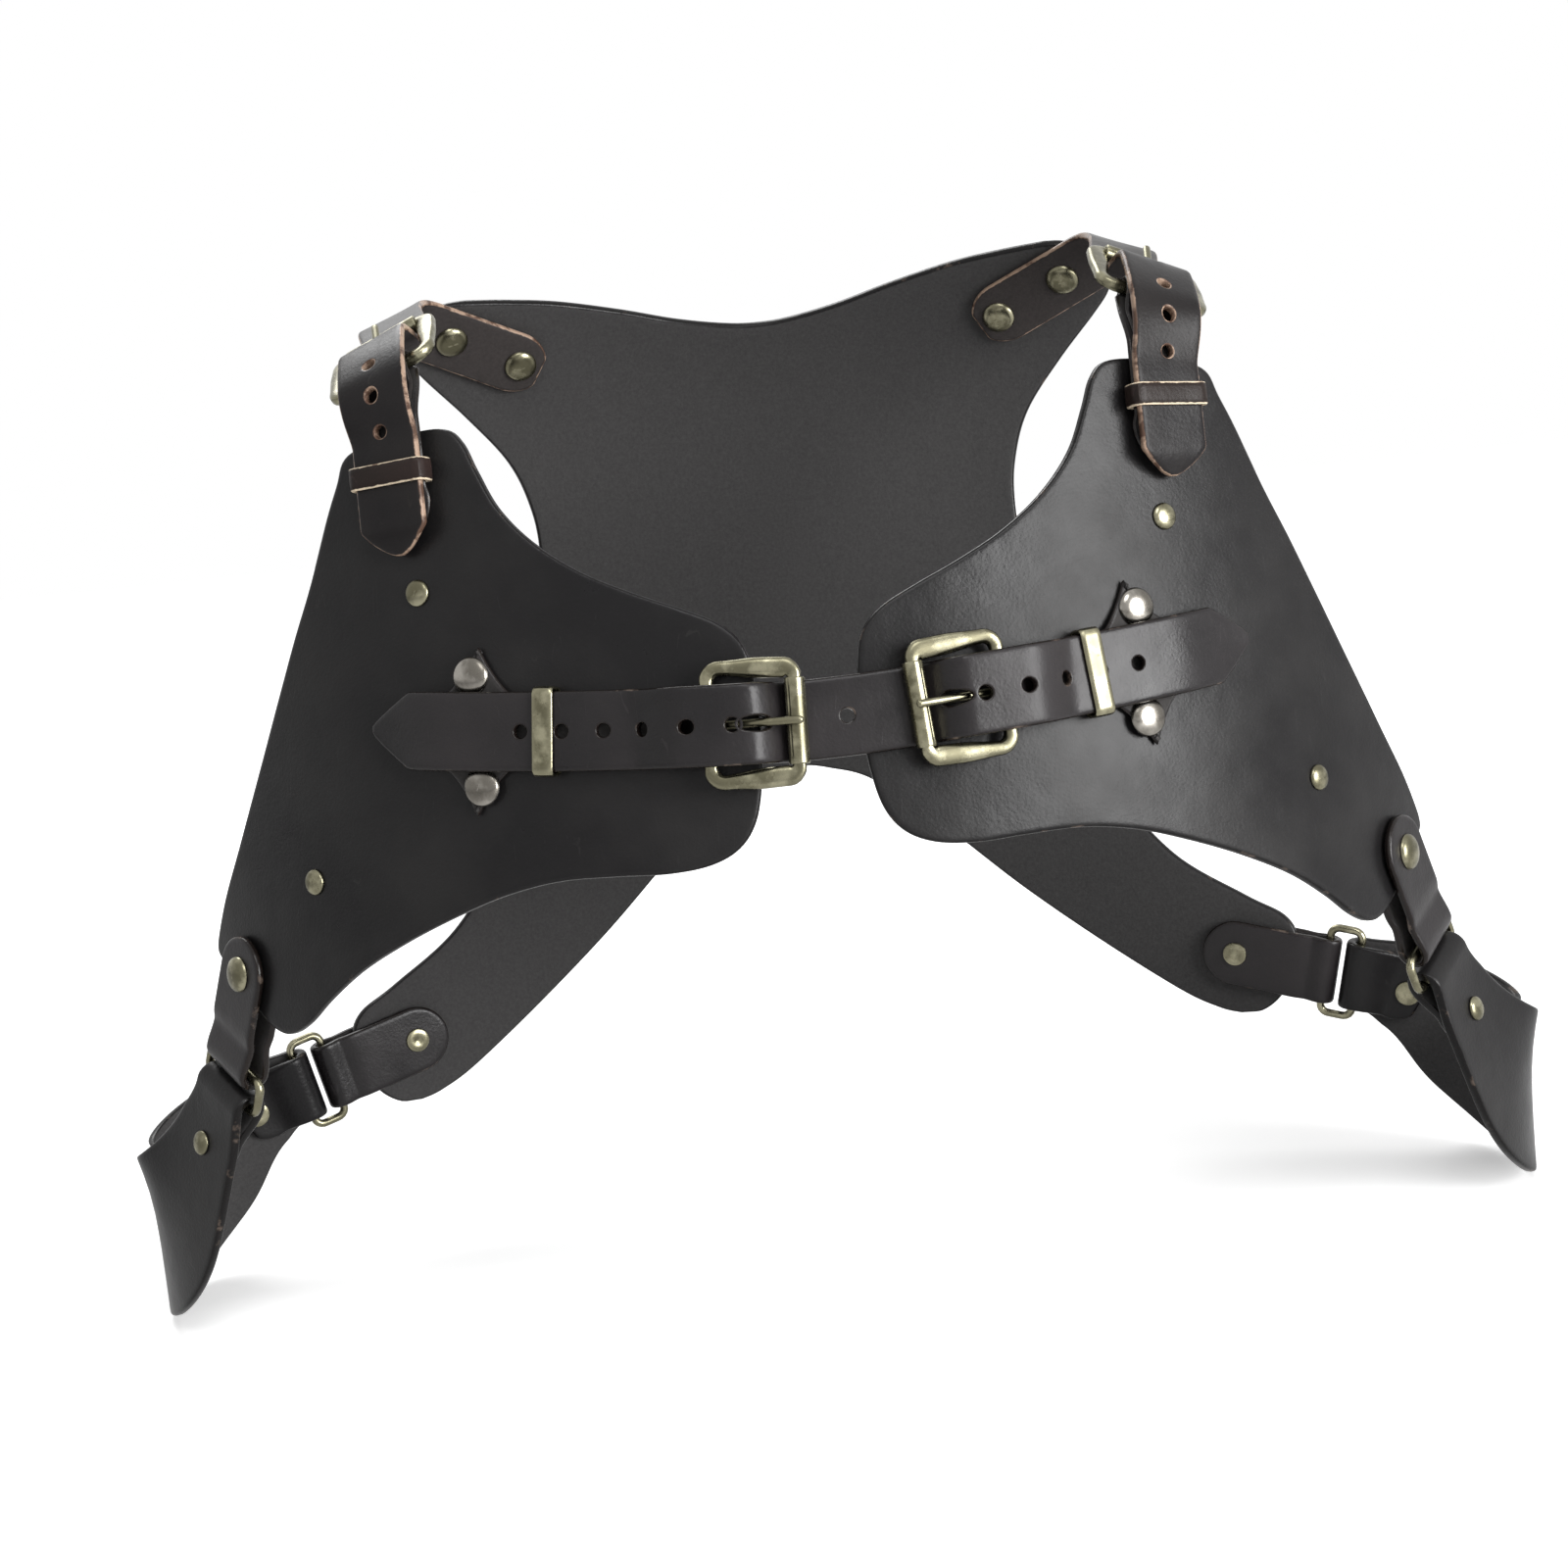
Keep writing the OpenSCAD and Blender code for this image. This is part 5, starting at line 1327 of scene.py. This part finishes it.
def band(name, spot, lo, hi, t, length, crown, finish, nodes):
    """Keeper bent round a strap: a loop across it, with eased edges and a crowned face."""
    y = (STRAP_W + KEEPER_ROOM) / 2
    path = round_rect(-y, y, lo, hi, 1.1, 7, 0.9)
    h = length / 2
    cut = np.array([(-h + 0.3, 0), (h - 0.3, 0), (h, 0.25), (h, t - 0.35), (h - 0.35, t),
                    (h * 0.5, t + crown), (0, t + crown * 1.2), (-h * 0.5, t + crown),
                    (-h + 0.35, t), (-h, t - 0.35), (-h, 0.25)])
    sections = [spot(np.stack([cut[:, 0], p[0] + m[0] * cut[:, 1], p[1] + m[1] * cut[:, 1]], axis=1))
                for p, m in zip(path, -loop_normals(path))]
    rim = depth = None
    if "leather" in finish:
        rim = [min(h - abs(x), 3.0) if z > 0.3 else 0.0 for _ in sections for x, z in cut]
        depth = [1.0 if z > t - 0.4 else 0.5 for _ in sections for x, z in cut]
    bm = bmesh.new()
    skin(bm, sections)
    return finish_piece(name, bm, finish, nodes, rim, depth)


def rivet(bm, spot, lo, hi, d, burr):
    """Tubular rivet: domed cap, a shank, and a rolled burr behind."""
    rise = d * 0.17
    r, b = d / 2, d * burr / 2
    cap = [(0.02, hi + 0.5 + rise)]
    dome = np.linspace(0.12, 1.42, 12)
    cap += [(r * 0.985 * math.sin(a), hi + 0.4 + (rise + 0.1) * math.cos(a)) for a in dome]
    cap += [(r, hi + 0.36), (r * 0.99, hi + 0.16), (r * 0.93, hi + 0.1)]
    shank = [(SHANK_R, hi + 0.1), (SHANK_R, lo - 0.1)]
    rolled = [(b * 0.96, lo - 0.1), (b, lo - 0.3), (b * 0.96, lo - 0.7), (b * 0.8, lo - 1.0),
              (SHANK_R * 1.1, lo - 1.06), (SHANK_R * 0.7, lo - 0.75), (0.02, lo - 0.7)]
    skin(bm, turned(cap + shank + rolled, spot), closed=False)


def flat_rivet(bm, spot, lo, hi):
    """Flat rivet: a shank between two thin heads with eased rims."""
    r = FLAT_D / 2
    top = [(0.02, hi + FLAT_T * 0.94), (r * 0.6, hi + FLAT_T), (r - 0.25, hi + FLAT_T),
           (r, hi + FLAT_T * 0.6), (r, hi + 0.1), (r - 0.15, hi)]
    shank = [(SHANK_R, hi), (SHANK_R, lo)]
    under = [(r - 0.15, lo), (r, lo - 0.1), (r, lo - FLAT_T * 0.6), (r - 0.25, lo - FLAT_T),
             (0.02, lo - FLAT_T)]
    skin(bm, turned(top + shank + under, spot), closed=False)


def rivets(name, places, finish, nodes):
    """Rivets that are one node. A place is a spot, two levels, cap diameter and share of the burr."""
    bm = bmesh.new()
    for spot, lo, hi, d, burr in places:
        if d:
            rivet(bm, spot, lo, hi, d, burr)
        else:
            flat_rivet(bm, spot, lo, hi)
    return finish_piece(name, bm, finish, nodes)


# Operators


class HARNESS_OT_front_panels(bpy.types.Operator):
    """Lay the two front panels on the chest"""

    bl_idname = "harness.front_panels"
    bl_label = "Front Panels"

    def execute(self, context):
        for s in SIDES:
            front_panel(s)
        return {"FINISHED"}


class HARNESS_OT_back_panel(bpy.types.Operator):
    """Lay the back panel on the shoulder blades"""

    bl_idname = "harness.back_panel"
    bl_label = "Back Panel"

    def execute(self, context):
        back_panel()
        return {"FINISHED"}


class HARNESS_OT_chest_strap(bpy.types.Operator):
    """Cut the chest strap and thread it through both buckles"""

    bl_idname = "harness.chest_strap"
    bl_label = "Chest Strap"

    def execute(self, context):
        chest_strap()
        return {"FINISHED"}


class HARNESS_OT_buckle_bases(bpy.types.Operator):
    """Fold the chest buckle bases and the shoulder anchors round their chape bars"""

    bl_idname = "harness.buckle_bases"
    bl_label = "Buckle Bases"

    def execute(self, context):
        for s in SIDES:
            buckle_base(s)
            shoulder_anchor(s)
        return {"FINISHED"}


class HARNESS_OT_shoulder_straps(bpy.types.Operator):
    """Lay the shoulder straps from the front tabs to the back panel's arms"""

    bl_idname = "harness.shoulder_straps"
    bl_label = "Shoulder Straps"

    def execute(self, context):
        for s in SIDES:
            shoulder_strap(s)
        return {"FINISHED"}


class HARNESS_OT_buckles(bpy.types.Operator):
    """Cast the four buckle frames, with their rollers and prongs"""

    bl_idname = "harness.buckles"
    bl_label = "Roller Buckles"

    def execute(self, context):
        for where, make in (("chest", chest_buckle), ("shoulder", shoulder_buckle)):
            for s, side in SIDES.items():
                spot = make(s)
                buckle_frame(f"frame_{where}_{side}", spot, [f"{where}_frame_{side}"])
                roller(f"roller_{where}_{side}", spot, [f"{where}_roller_{side}"])
                prong(f"prong_{where}_{side}", spot, [f"{where}_prong_{side}"])
        return {"FINISHED"}


class HARNESS_OT_keepers(bpy.types.Operator):
    """Bend the brass keepers and the brown leather keepers round their straps"""

    bl_idname = "harness.keepers"
    bl_label = "Keepers"

    def execute(self, context):
        for s, side in SIDES.items():
            u = KEEPER_U[s]
            spot = Spot(chest_line(u), chest_line(u + 1) - chest_line(u - 1), chest_n(u), s < 0)
            band(f"keeper_chest_{side}", spot, KEEPER_FLOOR + KEEPER_T, KEEPER_ROOF, KEEPER_T, KEEPER_W, 0.12,
                 "antique brass plate", [f"chest_keeper_{side}"])
            spot = Spot(shoulder_line(Q_LOOP), shoulder_run(Q_LOOP), shoulder_n(Q_LOOP), s < 0)
            band(f"keeper_shoulder_{side}", spot, KEEPER_FLOOR + LOOP_T, KEEPER_ROOF, LOOP_T, LOOP_W, 0.15,
                 "brown loop leather", [f"shoulder_keeper_{side}"])
        return {"FINISHED"}


class HARNESS_OT_links(bpy.types.Operator):
    """Fold the four leather links round their rings"""

    bl_idname = "harness.links"
    bl_label = "Leather Links"

    def execute(self, context):
        for s in SIDES:
            for where in LINK_SEATS:
                link(s, where)
        return {"FINISHED"}


class HARNESS_OT_rings(bpy.types.Operator):
    """Bend the four wire rings at the flanks"""

    bl_idname = "harness.rings"
    bl_label = "Wire Rings"

    def execute(self, context):
        y = RING_LEN / 2 + RING_BEND - RING_R
        path = round_rect(0, RING_GAP, -y, y, RING_BEND, 10, 1.1)
        wire = np.full(len(path), 2 * RING_R)
        for s, side in SIDES.items():
            for where, (p, run, n) in LINK_SEATS.items():
                spot = Spot(p + run * (LINK_REACH + SLACK) + n * PANEL_T / 2, run, n, s < 0)
                wire_loop(f"ring_{where}_{side}", path, wire, wire, 2.0, spot, [f"{where}_ring_{side}"])
        return {"FINISHED"}


class HARNESS_OT_flank_panels(bpy.types.Operator):
    """Fold the flank pieces round their rings"""

    bl_idname = "harness.flank_panels"
    bl_label = "Flank Pieces"

    def execute(self, context):
        for s in SIDES:
            flank_panel(s)
        return {"FINISHED"}


class HARNESS_OT_rivets(bpy.types.Operator):
    """Set every rivet and stud"""

    bl_idname = "harness.rivets"
    bl_label = "Rivets"

    def execute(self, context):
        patches, studs, arms, anchors, links = [], [], [], [], []
        cap, stud = settings().cap_diameter * 1000, settings().stud_diameter * 1000
        for s, side in SIDES.items():
            u = PATCH_U[s]
            for m in (-1, 1):
                spot = at_chest(u, strap_rise(u) + m * PATCH_RIVET, s)
                patches.append((spot, 0, PATCH_FLOOR + BASE_T, cap, BURR))
            studs += [(at_chest(u, v, s), 0, PANEL_T, stud, BURR) for u, v in STUDS]
            for share in ARM_RIVETS:
                q = Q_ARM + ARM_LAP * share
                spot = Spot(shoulder_line(q), shoulder_run(q), -shoulder_up(q), s < 0)
                arms.append((spot, ARM_W - PANEL_T, 0, cap, BURR))
            q = Q_ANCHOR + 5.5
            for m in (-1, 1):
                p = shoulder_line(q) + m * FLAT_PITCH / 2 * shoulder_out(q)
                spot = Spot(p, shoulder_run(q), shoulder_up(q), s < 0)
                anchors.append((spot, -LAY_GAP, PATCH_FLOOR + BASE_T + 0.1, 0, 0))
            low = -LINK_GAP - STRAP_T
            for p, run, n in LINK_SEATS.values():
                links.append((Spot(p, run, n, s < 0), low, PANEL_T - low, cap, BURR))
            low = -PANEL_T - flap_gap(FLANK_RIVET_Q) - 0.15
            ends = []
            for q in (FLANK_RIVET_Q, 2 * FLANK_HALF_LEN - FLANK_RIVET_Q):
                spot = Spot(flank_spot(q), flank_run(q), flank_n(q), s < 0)
                ends.append((spot, low, PANEL_T + 0.15, stud, WIDE_BURR))
            rivets(f"rivets_flank_{side}", ends, "antique brass plate", [f"flank_rivets_{side}"])
        rivets("rivets_base", patches, "nickel plate", ["patch_rivets"])
        rivets("studs_panel", studs, "antique brass plate", ["panel_studs"])
        rivets("rivets_strap", arms, "antique brass plate", ["strap_rivets"])
        rivets("rivets_anchor", anchors, "antique brass plate", ["anchor_rivets"])
        rivets("rivets_link", links, "antique brass plate", ["link_rivets"])
        return {"FINISHED"}


class HARNESS_OT_stage(bpy.types.Operator):
    """Set the floor, the soft studio light and the camera"""

    bl_idname = "harness.stage"
    bl_label = "Stage"

    def execute(self, context):
        p = settings()
        pale_floor(p.floor_hex)
        soft_world(p.world_level)
        lamps(p.key_power)
        camera()
        context.scene.view_settings.view_transform = "Standard"
        return {"FINISHED"}


# Stage: the floor's gap under the part and half its width, and the point that the lamps face, in m
FLOOR_GAP = 0.0015
FLOOR_HALF = 9.0
MIDDLE = (0.0, 0.1, 0.0)

# Lamps: place and width in m, and share of the main lamp's power
LAMPS = {
    "side": ((1.5, -1.3, 0.34), 1.3, 1.0),
    "front": ((0.25, -1.6, 1.8), 1.2, 0.3),
    "back": ((-0.5, 1.3, 1.6), 1.2, 0.35),
}

# Camera: degrees turned, tilted and rolled, mm away, mm aside and below, and its lens
CAMERA_TURN = 0.56
CAMERA_TILT = 8.0
CAMERA_ROLL = 5.88
CAMERA_AWAY = 700.0
CAMERA_ASIDE = 7.86
CAMERA_BELOW = 18.82
CAMERA_LENS = 54.13


def pale_floor(code):
    """Sheet of paper just under the part."""
    bm = bmesh.new()
    bmesh.ops.create_grid(bm, x_segments=2, y_segments=2, size=FLOOR_HALF)
    mesh = bpy.data.meshes.new("floor")
    bm.to_mesh(mesh)
    bm.free()
    mesh.materials.append(paper(code))
    floor = bpy.data.objects.new("floor", mesh)
    floor.location = (MIDDLE[0], MIDDLE[1], CAD_BOX[0][2] - FLOOR_GAP)
    bpy.context.scene.collection.objects.link(floor)


def stand(thing, x, y, z, place):
    """Puts a lamp or camera at a place, with its own axes along x, y and z."""
    turned_axes = np.stack([x, y, z], axis=1)
    thing.matrix_world = Matrix([[*row, t] for row, t in zip(turned_axes, place)] + [[0, 0, 0, 1]])
    bpy.context.scene.collection.objects.link(thing)


def lamps(power):
    """Three soft round lamps that face the harness."""
    for name, (place, size, share) in LAMPS.items():
        data = bpy.data.lights.new(name, "AREA")
        data.shape = "DISK"
        data.size = size
        data.energy = power * share
        away = unit(np.array(place) - MIDDLE)
        side = unit(np.cross([0, 0, 1.0], away))
        stand(bpy.data.objects.new(name, data), side, np.cross(away, side), away, place)


def paper(code):
    """Matt white seamless paper: it keeps the shadow, and fades to plain white further out."""
    material, tree = new_material("seamless paper")
    coords = node(tree, "ShaderNodeTexCoord").outputs["Object"]
    tooth = node(tree, "ShaderNodeTexNoise", {"Vector": coords, "Scale": per_metre(1.5), "Detail": 2.0})
    bump = node(tree, "ShaderNodeBump",
                {"Height": tooth.outputs["Fac"], "Strength": 0.05, "Distance": 0.0002})
    shader = node(tree, "ShaderNodeBsdfDiffuse", {"Color": colour(code), "Normal": bump.outputs[0]})
    away = node(tree, "ShaderNodeVectorMath", {0: coords}, operation="LENGTH")
    fade = node(tree, "ShaderNodeMapRange", {"Value": away.outputs["Value"], "From Min": 0.25,
                                             "From Max": 1.1, "To Min": 0.34, "To Max": 1.0})
    seen = node(tree, "ShaderNodeLightPath").outputs["Is Camera Ray"]
    level = node(tree, "ShaderNodeMath", {0: fade.outputs[0], 1: seen}, operation="MULTIPLY")
    glow = node(tree, "ShaderNodeEmission", {"Strength": level.outputs[0]})
    both = node(tree, "ShaderNodeAddShader", {0: shader.outputs[0], 1: glow.outputs[0]})
    node(tree, "ShaderNodeOutputMaterial", {"Surface": both.outputs[0]})
    return material


def soft_world(level):
    """Plain bright surround: white to the camera and in reflections, softer as light."""
    world = bpy.data.worlds.new("studio")
    bpy.context.scene.world = world
    world.use_nodes = True
    tree = world.node_tree
    tree.nodes.clear()
    path = node(tree, "ShaderNodeLightPath").outputs
    seen = node(tree, "ShaderNodeMath", {0: path["Is Camera Ray"], 1: path["Is Transmission Ray"]},
                operation="MAXIMUM")
    seen = node(tree, "ShaderNodeMath", {0: seen.outputs[0], 1: path["Is Glossy Ray"]}, operation="MAXIMUM")
    lit = node(tree, "ShaderNodeBackground", {"Color": (1, 1, 1, 1), "Strength": level})
    shown = node(tree, "ShaderNodeBackground", {"Color": (1, 1, 1, 1), "Strength": 1.0})
    mixed = node(tree, "ShaderNodeMixShader", {0: seen.outputs[0], 1: lit.outputs[0], 2: shown.outputs[0]})
    node(tree, "ShaderNodeOutputWorld", {"Surface": mixed.outputs[0]})


def camera():
    """Camera at the photograph's angle: a little left of the middle, from above, and rolled."""
    turn, tilt, roll = (math.radians(a) for a in (CAMERA_TURN, CAMERA_TILT, CAMERA_ROLL))
    look = np.array([math.sin(turn) * math.cos(tilt), math.cos(turn) * math.cos(tilt), -math.sin(tilt)])
    level = np.array([math.cos(turn), -math.sin(turn), 0])
    upright = np.cross(level, look)
    right = level * math.cos(roll) - upright * math.sin(roll)
    up = upright * math.cos(roll) + level * math.sin(roll)
    data = bpy.data.cameras.new("camera")
    data.sensor_fit = "HORIZONTAL"
    data.sensor_width = 36.0
    data.lens = CAMERA_LENS
    data.clip_start = 0.05
    eye = bpy.data.objects.new("camera", data)
    stand(eye, right, up, -look, (-CAMERA_AWAY * look - CAMERA_ASIDE * right - CAMERA_BELOW * up) / 1000)
    bpy.context.scene.camera = eye


# Add-on


class HarnessSettings(bpy.types.PropertyGroup):
    """Sizes, finishes and light that a user would change"""

    cap_diameter: bpy.props.FloatProperty(
        name="Cap Diameter", description="Diameter of the large rivet caps",
        default=0.012, min=0.008, max=0.0125, precision=4, unit="LENGTH")
    stud_diameter: bpy.props.FloatProperty(
        name="Stud Diameter", description="Diameter of the small rivet caps",
        default=0.0084, min=0.006, max=0.009, precision=4, unit="LENGTH")
    grain: bpy.props.FloatProperty(
        name="Grain", description="Width of the leather's pebbled cells",
        default=0.001, min=0.0004, max=0.003, precision=4, unit="LENGTH")
    edge_wear: bpy.props.FloatProperty(
        name="Edge Wear", description="How far the cut edges are rubbed back to tan",
        default=1.0, min=0.0, max=1.5, subtype="FACTOR")
    leather_hex: bpy.props.StringProperty(
        name="Panel Leather", description="sRGB hex of the dyed panel leather", default="#121112")
    strap_hex: bpy.props.StringProperty(
        name="Strap Leather", description="sRGB hex of the dyed strap leather", default="#151314")
    brass_hex: bpy.props.StringProperty(
        name="Brass", description="sRGB hex of the rubbed brass plate", default="#96927b")
    nickel_hex: bpy.props.StringProperty(
        name="Nickel", description="sRGB hex of the rubbed nickel plate", default="#98948d")
    leather_roughness: bpy.props.FloatProperty(
        name="Leather Roughness", description="Roughness of the waxed grain side",
        default=0.27, min=0.1, max=0.9, subtype="FACTOR")
    metal_roughness: bpy.props.FloatProperty(
        name="Metal Roughness", description="Roughness of the plated hardware",
        default=0.27, min=0.1, max=0.7, subtype="FACTOR")
    floor_hex: bpy.props.StringProperty(
        name="Floor", description="sRGB hex of the paper floor", default="#f6f6f6")
    world_level: bpy.props.FloatProperty(
        name="Surround", description="Strength of the white surround as light",
        default=0.3, min=0.0, max=3.0)
    key_power: bpy.props.FloatProperty(
        name="Side Light", description="Power of the main lamp",
        default=62.0, min=0.0, max=500.0, unit="POWER")


STEPS = [
    "front_panels", "back_panel", "chest_strap", "buckle_bases", "shoulder_straps", "buckles", "keepers",
    "links", "rings", "flank_panels", "rivets", "stage",
]


class HARNESS_PT_panel(bpy.types.Panel):
    """Lists the harness's pieces in the sidebar"""

    bl_label = "Leather Shoulder Harness"
    bl_idname = "HARNESS_PT_panel"
    bl_space_type = "VIEW_3D"
    bl_region_type = "UI"
    bl_category = "Harness"

    def draw(self, context):
        for key in HarnessSettings.__annotations__:
            self.layout.prop(context.scene.harness, key)
        for step in STEPS:
            self.layout.operator(f"harness.{step}")


CLASSES = [
    HarnessSettings, HARNESS_OT_front_panels, HARNESS_OT_back_panel, HARNESS_OT_chest_strap,
    HARNESS_OT_buckle_bases, HARNESS_OT_shoulder_straps, HARNESS_OT_buckles, HARNESS_OT_keepers,
    HARNESS_OT_links, HARNESS_OT_rings, HARNESS_OT_flank_panels, HARNESS_OT_rivets, HARNESS_OT_stage,
    HARNESS_PT_panel,
]


def register():
    for cls in CLASSES:
        bpy.utils.register_class(cls)
    bpy.types.Scene.harness = bpy.props.PointerProperty(type=HarnessSettings)


def unregister():
    del bpy.types.Scene.harness
    for cls in reversed(CLASSES):
        bpy.utils.unregister_class(cls)


def main():
    register()
    for step in STEPS:
        getattr(bpy.ops.harness, step)()


if __name__ == "__main__":
    main()
